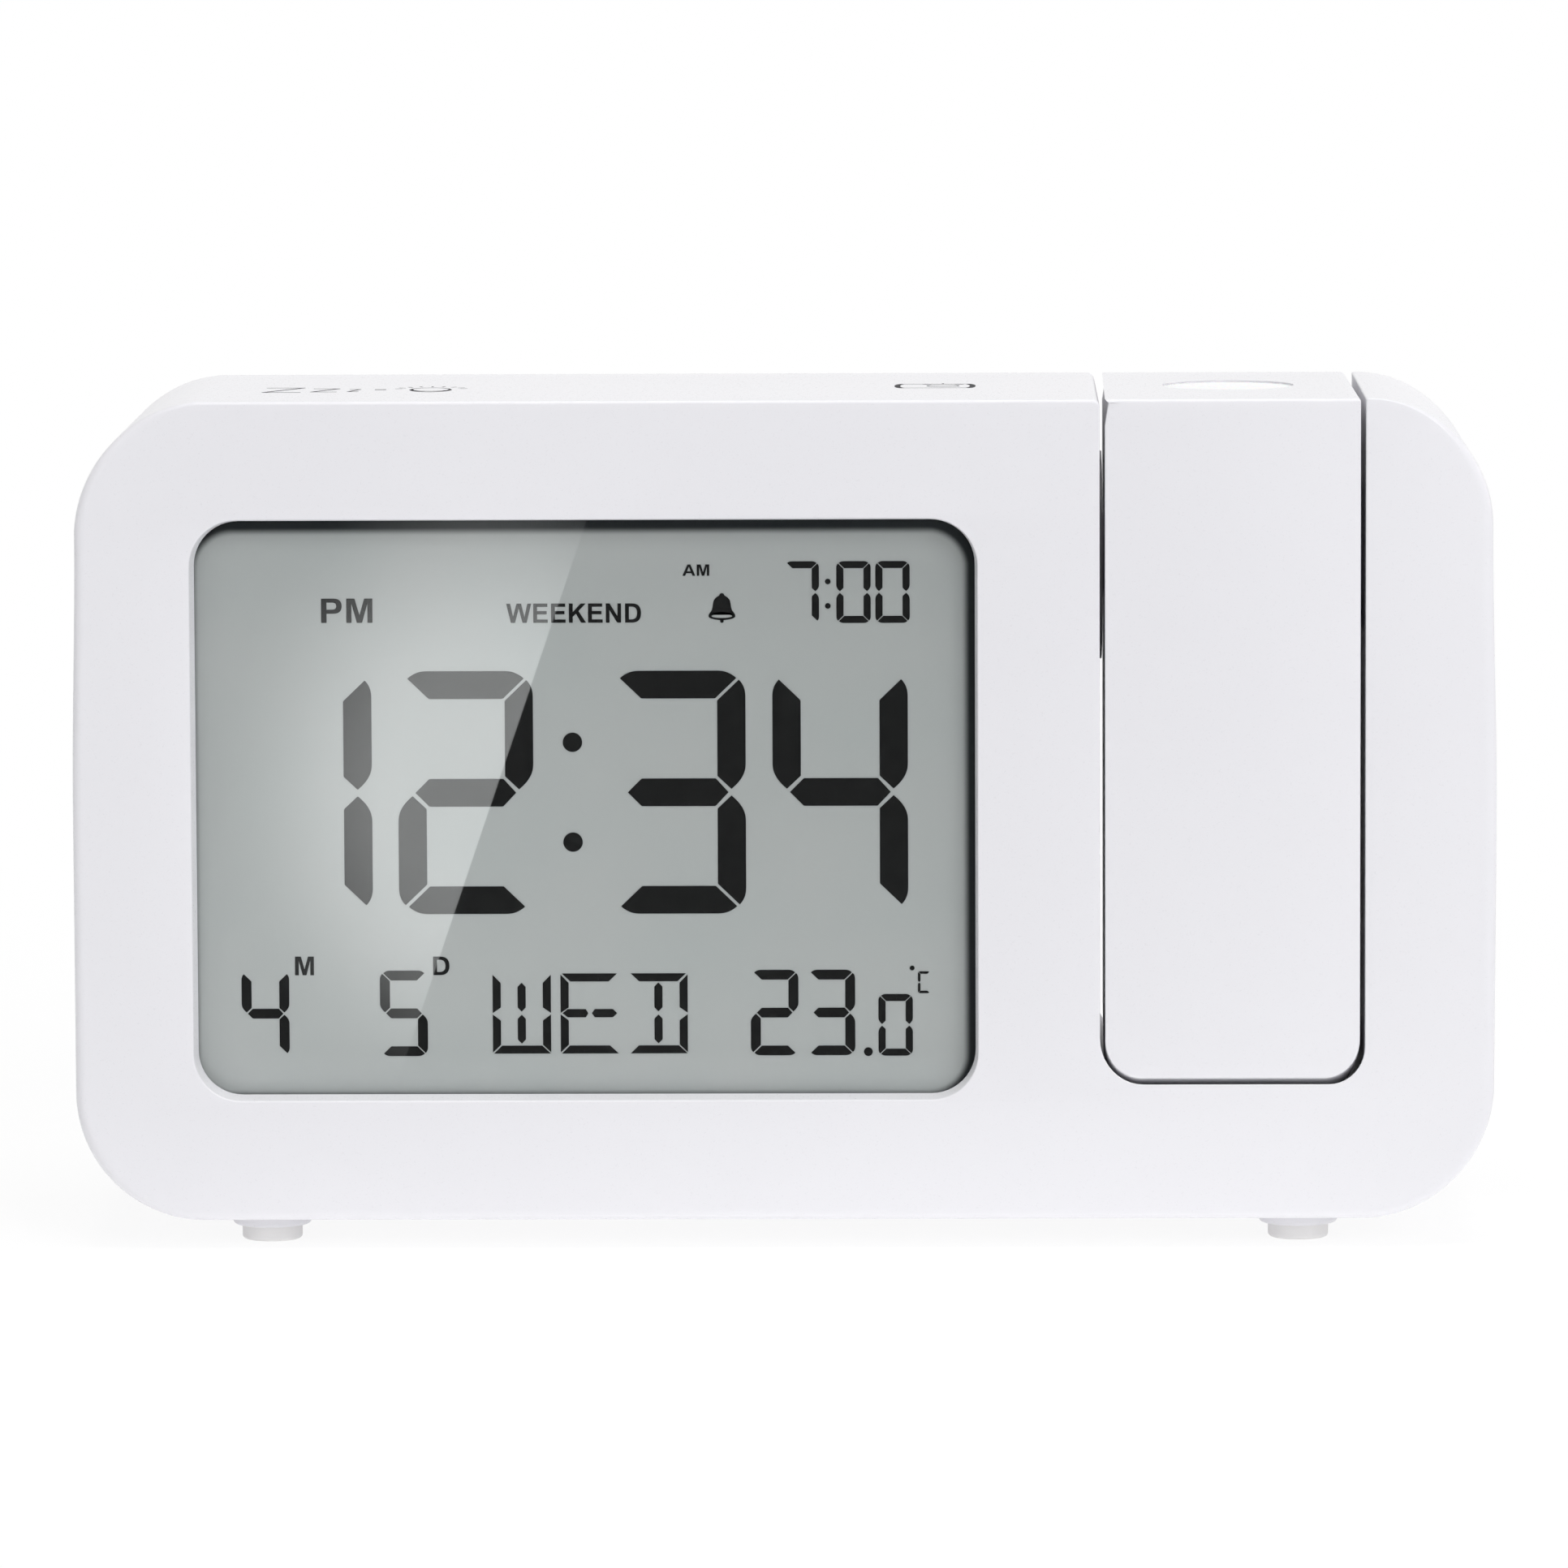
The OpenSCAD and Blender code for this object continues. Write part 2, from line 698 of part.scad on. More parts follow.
module slide_switch_body() {
    body_l = 10.4;
    body_hz = 5;
    body_t = 3.8;
    groove_l = knob_w() + switch_travel + 1.2;
    color("silver") difference() {
        box(switch_x - body_l / 2, switch_x + body_l / 2, key_y1, key_y1 + body_t,
            key_z - body_hz / 2, key_z + body_hz / 2);
        box(switch_x - groove_l / 2, switch_x + groove_l / 2, stem_y - 0.4, key_y1 + body_t + over,
            key_z - knob_h() / 2 - loose, key_z + knob_h() / 2 + loose);
    }
}

// Power inlet: an upright socket with a tongue in it
module usb_socket() {
    shell_w = 9.2;
    shell_h = 3.4;
    shell_t = 0.35;
    mouth_y = cover_y1 - 0.6;
    base_y = key_y1 + 1.6;
    tongue_w = 6.6;
    tongue_t = 0.7;
    color("silver") translate([usb_x, 0, usb_z]) {
        difference() {
            plate_y(key_y1, mouth_y) rounded_rect(shell_w, shell_h, shell_h / 2 - 0.01);
            plate_y(base_y, mouth_y + over) rounded_rect(shell_w - 2 * shell_t,
                shell_h - 2 * shell_t, shell_h / 2 - shell_t - 0.01);
        }
        plate_y(base_y - bite, mouth_y - 0.8) square([tongue_w, tongue_t], center = true);
    }
}

// Bead behind the vents, on two leads bent down from the key board
module temperature_sensor() {
    bead_r = 1.3;
    lead_r = 0.25;
    bead_y = cover_y0 - 2.5;
    root_z = key_z - key_h / 2 + 1.5;
    color("darkred") {
        translate([vent_x, bead_y, vent_z]) sphere(bead_r);
        for (s = [-1, 1]) {
            rod_z(vent_x + s * 0.8, bead_y, vent_z, root_z, lead_r);
            translate([vent_x + s * 0.8, bead_y, root_z]) sphere(lead_r);
            rod_y(vent_x + s * 0.8, root_z, key_y1, bead_y, lead_r);
        }
    }
}

module buzzer() {
    sound_hole_r = 1.5;
    color("black") difference() {
        rod_y(buzzer_x, buzzer_z, cover_y0 - buzzer_t, cover_y0, buzzer_r);
        rod_y(buzzer_x, buzzer_z, cover_y0 - 2, cover_y0 + over, sound_hole_r);
    }
}

module buzzer_leads() {
    lead_r = 0.5;
    lead_y = min(key_y0, cover_y0 - buzzer_t) - lead_r - fit;
    color("red") for (s = [-1, 1])
        rod_z(buzzer_x + 2 * s, lead_y, key_z + key_h / 2 - 3, buzzer_z - buzzer_r + 3, lead_r);
}

module board_ribbon() {
    ribbon_w = 14;
    ribbon_t = 0.8;
    plug_t = 2.4;
    plug_w = 16;
    color("lightgray") {
        box(ribbon_x - ribbon_w / 2, ribbon_x + ribbon_w / 2, board_rear_y + 1, key_y0 - 1,
            key_z - ribbon_t / 2, key_z + ribbon_t / 2);
        for (y = [board_rear_y, key_y0 - plug_t])
            box(ribbon_x - plug_w / 2, ribbon_x + plug_w / 2, y, y + plug_t,
                key_z - plug_t / 2, key_z + plug_t / 2);
    }
}

module board_screws() {
    ear_tab_t = 1.5;
    color("silver") {
        for (p = ears)
            screw_y(p[0], p[1], ear_y + ear_tab_t + small_screw[2], small_screw, 5);
        for (p = board_fixes)
            screw_y(p[0], p[1], board_rear_y + small_screw[2], small_screw, 4.6);
        for (p = key_fixes) translate([0, 2 * key_y0, 0]) mirror([0, 1, 0])
            screw_y(p[0], p[1], key_y0 + small_screw[2], small_screw, 5.6);
    }
}

// ---- battery bay ----

// Contact places: which end of the bay, and which cell
contact_sides = [[-1, 0], [-1, 1], [1, 0], [1, 1]];
tail_w = 1.6;

function contact_x(s) = s[0] < 0 ? bay_x0 : bay_x0 + bay_w - contact_t;

module tail_hole(s) {
    box(contact_x(s) - fit, contact_x(s) + contact_t + fit, bay_floor_y - bay_wall - over,
        bay_floor_y + over, cell_zs[s[1]] - tail_w / 2 - fit, cell_zs[s[1]] + tail_w / 2 + fit);
}

module battery_contacts() {
    plate_w = 9;
    tail_y = bay_floor_y - bay_wall - 1.4;
    color("silver") for (s = contact_sides) {
        x = contact_x(s);
        z = cell_zs[s[1]];
        box(x, x + contact_t, bay_floor_y + fit, bay_floor_y + plate_w,
            z - plate_w / 2, z + plate_w / 2);
        box(x, x + contact_t, tail_y, bay_floor_y + plate_w / 2, z - tail_w / 2, z + tail_w / 2);
    }
}

// Cell i points its raised end to the right for the lower cell, to the left for the upper
module battery_cells() {
    color("slategray") for (i = [0, 1]) {
        plus = i == 0 ? 1 : -1;
        nub_x = i == 0 ? bay_x0 + bay_w - contact_t : bay_x0 + contact_t;
        translate([nub_x, cell_y, cell_zs[i]]) rotate([0, -90 * plus, 0]) {
            cylinder(h = nub_l + bite, r = nub_r);
            translate([0, 0, nub_l]) cylinder(h = cell_l - nub_l, r = cell_r);
        }
    }
}

module battery_springs() {
    foot_r2 = 3;
    wire_r = 0.35;
    turns = 4;
    color("silver") for (i = [0, 1]) {
        minus = i == 0 ? 1 : -1;
        wall_x = i == 0 ? bay_x0 + contact_t : bay_x0 + bay_w - contact_t;
        translate([wall_x, cell_y, cell_zs[i]]) rotate([0, 90 * minus, 0])
            coil(foot_r2, wire_r, turns, spring_l);
    }
}

module battery_leads() {
    lead_r = 0.6;
    start_y = bay_floor_y - bay_wall - 1.4;
    color("red") for (s = [[-1, 0], [-1, 1]])
        rod_y(contact_x(s) + contact_t / 2, cell_zs[s[1]], board_rear_y, start_y, lead_r);
}

module battery_door() {
    door_x0 = bay_x0 + door_gap;
    door_x1 = bay_x0 + bay_w - door_gap;
    door_top = bay_z0 + bay_h - door_gap;
    grip_w = 14;
    grip_rows = 3;
    color("whitesmoke") difference() {
        union() {
            box(door_x0, door_x1, cover_y1 - door_t, cover_y1, door_z, door_top);
            rod_x(door_y, door_z, door_x0, door_x1, door_r);
            rod_x(door_y, door_z, bay_x0 - pin_l, bay_x0 + bay_w + pin_l, pin_r);
        }
        for (i = [0 : grip_rows - 1])
            box(bay_x0 + bay_w / 2 - grip_w / 2, bay_x0 + bay_w / 2 + grip_w / 2,
                cover_y1 - 0.5, cover_y1 + over, door_top - 3 - 2.4 * i, door_top - 1.8 - 2.4 * i);
    }
}

// ---- buttons and switch knob ----

module push_button(i) {
    inner_face = cover_y0 - loose - flange_t;
    color("whitesmoke") {
        plate_y(cover_y0 - loose - bite, proud_y) translate([button_x(i), key_z])
            rounded_rect(button_w, button_h, button_r);
        plate_y(inner_face, cover_y0 - loose) translate([button_x(i), key_z])
            rounded_rect(button_w + 2 * button_flange, button_h + 2 * button_flange, button_r);
        rod_y(button_x(i), key_z, stem_y, inner_face + bite, stem_r);
    }
}

module alarm_button() push_button(0);
module set_button() push_button(1);
module up_button() push_button(2);
module down_button() push_button(3);
module flip_button() push_button(4);

module slide_knob() {
    rest_x = switch_x - switch_travel / 2;
    shield_w = 9.6;
    shield_h = 4.4;
    color("dimgray") {
        box(rest_x - knob_w() / 2, rest_x + knob_w() / 2, stem_y, cover_y1 + 0.9,
            key_z - knob_h() / 2, key_z + knob_h() / 2);
        box(rest_x - shield_w / 2, rest_x + shield_w / 2, cover_y0 - loose - 1, cover_y0 - loose,
            key_z - shield_h / 2, key_z + shield_h / 2);
    }
}

// ---- arm ----

module arm_form() {
    intersection() {
        swing_drum(arm_r, arm_w / 2, arm_corner);
        translate([arm_x, mid_y, pivot_z - arm_r - over]) rotate([90, 0, 90])
            linear_extrude(arm_w + 2, center = true) {
                top = arm_r + pivot_drop + over;
                translate([-body_d / 2, 0]) square([body_d, top - edge_r]);
                translate([edge_r - body_d / 2, 0]) square([body_d - 2 * edge_r, top]);
                for (s = [-1, 1])
                    translate([s * (body_d / 2 - edge_r), top - edge_r]) circle(edge_r);
            }
    }
}

module arm_shell() {
    rear_wall = 1.8;
    post_y1 = rear_y - rear_wall;
    post_y0 = post_y1 - arm_post_l;
    bore_l = 6;
    color("white") difference() {
        union() {
            difference() {
                arm_form();
                intersection() {
                    swing_drum(arm_r - arm_wall, arm_w / 2 - arm_wall, arm_corner - arm_wall);
                    box(arm_x0, arm_x1, front_y + arm_wall, rear_y + over, 0, top_z - arm_wall);
                }
            }
            for (i = [0, 1])
                rod_y(arm_fixes[i][0], arm_fixes[i][1], post_y0, post_y1, arm_post_r);
            for (i = [2, 3])
                rod_y(arm_fixes[i][0], arm_fixes[i][1], front_y + arm_wall - bite, post_y1, arm_post_r);
            for (x = tube_ears)
                rod_y(x, tube_ear_z, front_y + arm_wall - bite, tube_ear_y, tube_ear_r + bite);
        }
        rod_z(arm_x, mid_y, top_z - arm_wall - over, top_z + over, lens_cover_r + fit);
        rod_x(mid_y, pivot_z, arm_x0 - over, arm_in_x0 + over, left_pin_r + fit);
        rod_x(mid_y, pivot_z, arm_in_x1 - over, arm_x1 + over, right_pin_r + fit);
        for (p = arm_fixes)
            rod_y(p[0], p[1], post_y1 - bore_l, post_y1 + over, small_screw[0] + fit);
        for (x = tube_ears)
            rod_y(x, tube_ear_z, tube_ear_y - bore_l, tube_ear_y + over, small_screw[0] + fit);
    }
}

module arm_rear_cover() {
    plate = 1.8;
    gap = cover_gap;
    head_seat = 1.2;
    well_y = rear_y - well_depth;
    color("whitesmoke") difference() {
        union() {
            intersection() {
                swing_drum(arm_r - arm_wall - drum_gap, arm_w / 2 - arm_wall - gap,
                    arm_corner - arm_wall - gap);
                box(arm_x0, arm_x1, rear_y - plate, rear_y, 0, top_z - arm_wall - gap);
            }
            rod_y(arm_x, focus_z, well_y - well_floor, rear_y - bite, well_r + arm_wall);
        }
        rod_y(arm_x, focus_z, well_y, rear_y + over, well_r);
        rod_y(arm_x, focus_z, well_y - well_floor - over, well_y + over, shaft_r() + fit);
        for (p = arm_fixes) {
            rod_y(p[0], p[1], rear_y - plate - over, rear_y + over, small_screw[0] + fit);
            rod_y(p[0], p[1], rear_y - head_seat, rear_y + over, small_screw[1] + loose);
        }
    }
}

module arm_screws() {
    head_seat = 1.2;
    color("silver") for (p = arm_fixes)
        screw_y(p[0], p[1], rear_y - head_seat + small_screw[2], small_screw, 5.6);
}

module trunnion_bore(x0, x1) rod_x(mid_y, pivot_z, x0 - over, x1 + over, cable_r + 0.7);

module left_trunnion() {
    flange_x = arm_in_x0 + trunnion_flange_t;
    groove_r = left_pin_r - 0.55;
    color("dimgray") difference() {
        union() {
            rod_x(mid_y, pivot_z, left_pin_x, flange_x, left_pin_r);
            rod_x(mid_y, pivot_z, arm_in_x0, flange_x, trunnion_flange_r);
        }
        trunnion_bore(left_pin_x, flange_x);
        difference() {
            rod_x(mid_y, pivot_z, ring_x - fit, ring_x + ring_t + fit, left_pin_r + over);
            rod_x(mid_y, pivot_z, ring_x - over, ring_x + ring_t + over, groove_r);
        }
    }
}

module right_trunnion() {
    flange_x = arm_in_x1 - trunnion_flange_t;
    pin_end = block_x1 + 0.6;
    color("dimgray") {
        rod_x(mid_y, pivot_z, flange_x, pin_end, right_pin_r);
        rod_x(mid_y, pivot_z, flange_x, arm_in_x1, trunnion_flange_r);
    }
}

// Clip in the trunnion's groove, open on one side
module retaining_ring() {
    inner_r = left_pin_r - 0.5;
    outer_r = left_pin_r + 2;
    mouth = 4.4;
    color("gray") difference() {
        rod_x(mid_y, pivot_z, ring_x, ring_x + ring_t, outer_r);
        rod_x(mid_y, pivot_z, ring_x - over, ring_x + ring_t + over, inner_r);
        box(ring_x - over, ring_x + ring_t + over, mid_y - mouth / 2, mid_y + mouth / 2,
            pivot_z - outer_r - over, pivot_z);
    }
}

module friction_washer() {
    washer_x = ring_x + ring_t + fit;
    color("black") difference() {
        rod_x(mid_y, pivot_z, washer_x, washer_x + washer_t, left_pin_r + 2.5);
        rod_x(mid_y, pivot_z, washer_x - over, washer_x + washer_t + over, left_pin_r + fit);
    }
}

// Lead from the projector, out along the pivot axis
module arm_cable() {
    bend_x = arm_x - 9.7;
    color("dimgray") {
        rod_x(mid_y, pivot_z, cable_x, bend_x, cable_r);
        translate([bend_x, mid_y, pivot_z]) sphere(cable_r);
        rod_z(bend_x, mid_y, led_board_z1, pivot_z, cable_r);
    }
}

module case_cable() {
    bend_x = window_x + holder_w / 2 - 4;
    end_x = cable_x - bite;
    color("dimgray") {
        rod_x(mid_y, pivot_z, bend_x, end_x, cable_r);
        translate([bend_x, mid_y, pivot_z]) sphere(cable_r);
        rod_y(bend_x, pivot_z, board_rear_y, mid_y, cable_r);
    }
}

// ---- projector ----

module lens_cover() {
    flange_z = top_z - arm_wall;
    color("white", 0.6) {
        rod_z(arm_x, mid_y, flange_z - bite, top_z, lens_cover_r);
        rod_z(arm_x, mid_y, flange_z - lens_flange_t, flange_z, lens_cover_r + 1);
    }
}

module projector_housing() {
    lower_bore = 5.5;
    bottom_bore = 4.5;
    floor_h = 2;
    ear_t = 1.6;
    leg_w2 = 2;
    guard = 0.5;
    slot_half = 1.3;
    slot_mid = arm_x - pitch_r - 1.5;
    color("darkslategray") difference() {
        union() {
            rod_z(arm_x, mid_y, tube_z0, tube_z1, tube_r);
            for (x = tube_ears) {
                rod_y(x, tube_ear_z, tube_ear_y, tube_ear_y + ear_t, tube_ear_r);
                box(min(x, arm_x), max(x, arm_x), tube_ear_y, tube_ear_y + ear_t,
                    tube_ear_z - tube_ear_r, tube_ear_z + tube_ear_r);
            }
            for (s = [-1, 1])
                box(arm_x + s * 6.4 - leg_w2 / 2, arm_x + s * 6.4 + leg_w2 / 2, mid_y - leg_w2,
                    mid_y + leg_w2, led_board_z1, tube_z0 + bite);
        }
        rod_z(arm_x, mid_y, slide_z, tube_z1 + over, tube_bore);
        rod_z(arm_x, mid_y, tube_z0 + floor_h, slide_z + over, lower_bore);
        rod_z(arm_x, mid_y, tube_z0 - over, tube_z0 + floor_h + over, bottom_bore);
        box(slot_mid - slot_half, slot_mid + slot_half, mid_y, mid_y + tube_r + over,
            rack_arm_z - rack_arm_h / 2 - focus_travel - guard, tube_z1 + over);
        for (x = tube_ears)
            rod_y(x, tube_ear_z, tube_ear_y - over, tube_ear_y + ear_t + over, small_screw[0] + fit);
    }
}

module projector_screws() {
    ear_t = 1.6;
    color("silver") for (x = tube_ears)
        screw_y(x, tube_ear_z, tube_ear_y + ear_t + small_screw[2], small_screw, 6);
}

module condenser_lens() {
    seat_z = tube_z0 + 2;
    rim_r = 5.4;
    dome_r = 7;
    thick = 4.5;
    color("lightcyan", 0.6) intersection() {
        rod_z(arm_x, mid_y, seat_z, seat_z + thick, rim_r);
        translate([arm_x, mid_y, seat_z + thick - dome_r]) sphere(dome_r);
    }
}

module projection_slide() {
    slide_t = 1;
    color("darkslateblue") rod_z(arm_x, mid_y, slide_z, slide_z + slide_t, tube_bore - 0.1);
}

module projector_led() {
    dome_r = 2.4;
    rim_h = 1;
    color("lightyellow") {
        rod_z(arm_x, mid_y, led_board_z1, led_board_z1 + rim_h, dome_r);
        translate([arm_x, mid_y, led_board_z1 + rim_h]) intersection() {
            sphere(dome_r);
            translate([-dome_r, -dome_r, -bite]) cube(2 * dome_r);
        }
    }
}

module led_board() {
    half_w = 10.3;
    half_d = 7;
    color("darkgreen") box(arm_x - half_w, arm_x + half_w, mid_y - half_d, mid_y + half_d,
        led_board_z0, led_board_z1);
}

// Teeth of the rack point to the pinion, one of them in line with the shaft at rest
module rack_teeth() {
    half_pitch = 0.3;
    slope = 0.36;
    root_half = half_pitch + root_h * slope;
    tip_half = half_pitch - tip_h * slope;
    line_x = arm_x - pitch_r;
    for (k = [-3 : 3]) translate([0, focus_z + k * tooth_pitch])
        polygon([[line_x - root_h - bite, -root_half], [line_x + tip_h, -tip_half],
            [line_x + tip_h, tip_half], [line_x - root_h - bite, root_half]]);
}

module lens_barrel() {
    bore = barrel_r - barrel_wall;
    lip_r = bore - 0.8;
    lip_z = barrel_z1 - 6;
    lip_t = 1.2;
    bar_x0 = arm_x - rack_back;
    bar_x1 = arm_x - pitch_r - root_h;
    bar_z0 = focus_z - 5.6;
    root_y = mid_y + 4.7;
    color("black") {
        difference() {
            rod_z(arm_x, mid_y, barrel_z0, barrel_z1, barrel_r);
            rod_z(arm_x, mid_y, barrel_z0 - over, lip_z, bore);
            rod_z(arm_x, mid_y, lip_z - over, lip_z + lip_t + over, lip_r);
            rod_z(arm_x, mid_y, lip_z + lip_t, barrel_z1 + over, bore);
        }
        box(bar_x0, bar_x1, root_y, rack_y1, rack_arm_z - rack_arm_h / 2,
            rack_arm_z + rack_arm_h / 2);
        box(bar_x0, bar_x1, rack_y0, rack_y1, bar_z0, rack_arm_z);
        plate_y(rack_y0, rack_y1) rack_teeth();
    }
}

module projection_lens() {
    seat_z = barrel_z1 - 4.8;
    thick = 4.2;
    face_r = 10;
    color("lightcyan", 0.6) intersection() {
        rod_z(arm_x, mid_y, seat_z, seat_z + thick, lens_r);
        translate([arm_x, mid_y, seat_z + thick - face_r]) sphere(face_r);
        translate([arm_x, mid_y, seat_z + face_r]) sphere(face_r);
    }
}

function shaft_r() = 1.5;

module pinion_outline() {
    half_pitch = 0.28;
    root_half = 0.36;
    tip_half = 0.16;
    circle(pitch_r - root_h);
    for (i = [0 : gear_teeth - 1]) rotate((i + 0.5) * 360 / gear_teeth)
        polygon([[0, -root_half], [pitch_r - root_h, -root_half], [pitch_r, -half_pitch],
            [pitch_r + tip_h, -tip_half], [pitch_r + tip_h, tip_half], [pitch_r, half_pitch],
            [pitch_r - root_h, root_half], [0, root_half]]);
}

module focus_knob() {
    grips = 18;
    grip_r = 0.45;
    mark_w = 0.8;
    knob_y0 = rear_y - well_depth + loose;
    color("whitesmoke") difference() {
        union() {
            rod_y(arm_x, focus_z, knob_y0, proud_y, knob_r);
            rod_y(arm_x, focus_z, rack_y0 - 0.3, knob_y0 + bite, shaft_r());
            plate_y(rack_y0, rack_y1) translate([arm_x, focus_z]) pinion_outline();
        }
        for (i = [0 : grips - 1]) {
            a = i * 360 / grips;
            rod_y(arm_x + knob_r * cos(a), focus_z + knob_r * sin(a), knob_y0 - over,
                proud_y + over, grip_r);
        }
        box(arm_x - mark_w / 2, arm_x + mark_w / 2, proud_y - 0.4, proud_y + over,
            focus_z + 1, focus_z + knob_r - 1);
    }
}

front_housing();
rear_cover();
display_window();
display_gasket();
lcd_panel();
lcd_holder();
light_guide();
zebra_strips();
main_board();
backlight_leds();
board_chips();
crystal_can();
capacitors();
touch_board();
touch_springs();
touch_electrodes();
key_board();
key_switches();
slide_switch_body();
usb_socket();
temperature_sensor();
buzzer();
buzzer_leads();
board_ribbon();
battery_cells();
battery_springs();
battery_contacts();
battery_leads();
case_cable();
left_bush();
right_bush();
foot_pads();
case_screws();
board_screws();
arm_shell();
arm_rear_cover();
left_trunnion();
right_trunnion();
friction_washer();
retaining_ring();
arm_cable();
lens_cover();
projector_housing();
condenser_lens();
projection_slide();
projector_led();
led_board();
arm_screws();
projector_screws();
lens_barrel();
projection_lens();
focus_knob();
alarm_button();
set_button();
up_button();
down_button();
flip_button();
slide_knob();
battery_door();
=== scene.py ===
import math

import bmesh
import bpy
import numpy as np
from mathutils import Matrix, Vector
from mathutils.geometry import tessellate_polygon


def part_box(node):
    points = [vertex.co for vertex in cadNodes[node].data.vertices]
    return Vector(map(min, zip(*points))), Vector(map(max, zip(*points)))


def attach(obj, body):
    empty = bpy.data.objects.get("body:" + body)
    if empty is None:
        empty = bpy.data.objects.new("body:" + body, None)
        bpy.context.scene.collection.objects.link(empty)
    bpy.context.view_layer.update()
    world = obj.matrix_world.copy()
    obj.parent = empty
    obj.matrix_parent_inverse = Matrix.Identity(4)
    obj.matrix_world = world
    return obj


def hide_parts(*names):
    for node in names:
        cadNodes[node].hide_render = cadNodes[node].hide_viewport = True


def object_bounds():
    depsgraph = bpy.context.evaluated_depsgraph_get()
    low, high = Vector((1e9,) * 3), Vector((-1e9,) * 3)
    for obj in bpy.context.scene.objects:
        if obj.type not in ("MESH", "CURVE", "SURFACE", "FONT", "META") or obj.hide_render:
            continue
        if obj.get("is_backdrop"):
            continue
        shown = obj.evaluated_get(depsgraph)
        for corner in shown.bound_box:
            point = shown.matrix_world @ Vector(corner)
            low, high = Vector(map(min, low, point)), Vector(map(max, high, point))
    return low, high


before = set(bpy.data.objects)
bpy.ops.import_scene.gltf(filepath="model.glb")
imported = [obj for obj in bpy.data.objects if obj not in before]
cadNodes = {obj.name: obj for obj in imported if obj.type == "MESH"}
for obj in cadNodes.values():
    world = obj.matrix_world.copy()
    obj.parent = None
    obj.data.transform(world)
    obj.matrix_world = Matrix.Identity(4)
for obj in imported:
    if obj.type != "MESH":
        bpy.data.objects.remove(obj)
cadBox = [list(corner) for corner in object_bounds()]
mm = 0.001
unbounded = 999
sharpAngle = math.radians(32)
print("frame loaded,", len(cadNodes), "nodes")

# shared places, in millimetres
frontY, rearY, midY, leftX, rightX, bottomZ, topZ = -20.5, 19.5, -0.5, -75.0, 75.0, 3.2, 89.9
pivotZ, armX, windowX, windowZ = 71.8, 47.2, -21.1, 46.55


# quad (i, j) joins a grid point to its neighbours along both parameters
def gridFaces(rows, cols, closeRows=False, closeCols=False):
    lastRow, lastCol = rows if closeRows else rows - 1, cols if closeCols else cols - 1
    i, j = np.meshgrid(np.arange(lastRow), np.arange(lastCol), indexing="ij")
    k, m = (i + 1) % rows, (j + 1) % cols
    return np.stack([i * cols + j, k * cols + j, k * cols + m, i * cols + m], -1).reshape(-1, 4)


# triangles that fill the first closed loop and leave the other loops open, all in one plane; triangles
# without area are dropped, and where one long edge then passes by the points of a straight run, its triangle
# becomes a fan
def flatFill(*loops):
    loops = [loop[np.abs(loop - np.roll(loop, -1, 0)).max(1) > 1e-6] for loop in loops]
    points = np.concatenate(loops)
    faces = np.array(tessellate_polygon([loop.tolist() for loop in loops]))
    a, b, c = (points[faces[:, k]] for k in range(3))
    faces = faces[np.abs(np.cross(b - a, c - a)).max(1) > 1e-6]
    passed = np.setdiff1d(np.arange(len(points)), faces)
    for gone in np.split(passed, np.where(np.diff(passed) > 1)[0] + 1) if len(passed) else []:
        ends = [gone[0] - 1, gone[-1] + 1]
        spans = np.isin(faces, ends).sum(1) == 2
        if spans.sum() == 1:
            line = np.arange(*ends)
            apex = np.full(len(line), np.setdiff1d(faces[spans], ends)[0])
            faces = np.concatenate([faces[~spans], np.stack([line, line + 1, apex], 1)])
    return points, faces


# a smooth step: 0 below a, 1 above b, and 3t^2 - 2t^3 between
def smoothStep(a, b, x):
    t = np.clip((x - a) / (b - a), 0, 1)
    return t * t * (3 - 2 * t)


def addObject(name, data):
    thing = bpy.data.objects.new(name, data)
    bpy.context.scene.collection.objects.link(thing)
    return thing


# sheets are (points in millimetres, faces, smooth); they are welded into one mesh with its faces outwards
def makeMesh(name, sheets, weld=0.0008, solid=True):
    points = np.concatenate([np.reshape(p, (-1, 3)) for p, _, _ in sheets]) * mm
    offsets = np.cumsum([0] + [np.size(p) // 3 for p, _, _ in sheets[:-1]])
    corners = np.concatenate([(np.asarray(f) + o).ravel() for (_, f, _), o in zip(sheets, offsets)])
    sizes = np.concatenate([np.full(len(f), np.shape(f)[1]) for _, f, _ in sheets])
    smooth = np.concatenate([np.full(len(f), s) for _, f, s in sheets])
    mesh = bpy.data.meshes.new(name)
    mesh.vertices.add(len(points))
    mesh.vertices.foreach_set("co", points.ravel())
    mesh.loops.add(len(corners))
    mesh.loops.foreach_set("vertex_index", corners.astype(np.int32))
    mesh.polygons.add(len(sizes))
    mesh.polygons.foreach_set("loop_start", np.concatenate([[0], np.cumsum(sizes)[:-1]]).astype(np.int32))
    mesh.polygons.foreach_set("use_smooth", smooth)
    mesh.update(calc_edges=True)
    work = bmesh.new()
    work.from_mesh(mesh)
    bmesh.ops.remove_doubles(work, verts=work.verts, dist=weld * mm)
    bmesh.ops.dissolve_degenerate(work, dist=weld * mm * 0.1, edges=work.edges)
    if solid:
        bmesh.ops.recalc_face_normals(work, faces=work.faces)
    work.to_mesh(mesh)
    work.free()
    mesh.set_sharp_from_angle(angle=sharpAngle)
    return mesh


def makePiece(name, sheets, body, material, replaces=(), slot=None, **options):
    piece = addObject(name, makeMesh(name, sheets, **options))
    piece.data.materials.append(material)
    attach(piece, body)
    if replaces:
        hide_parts(*replaces)
    return piece


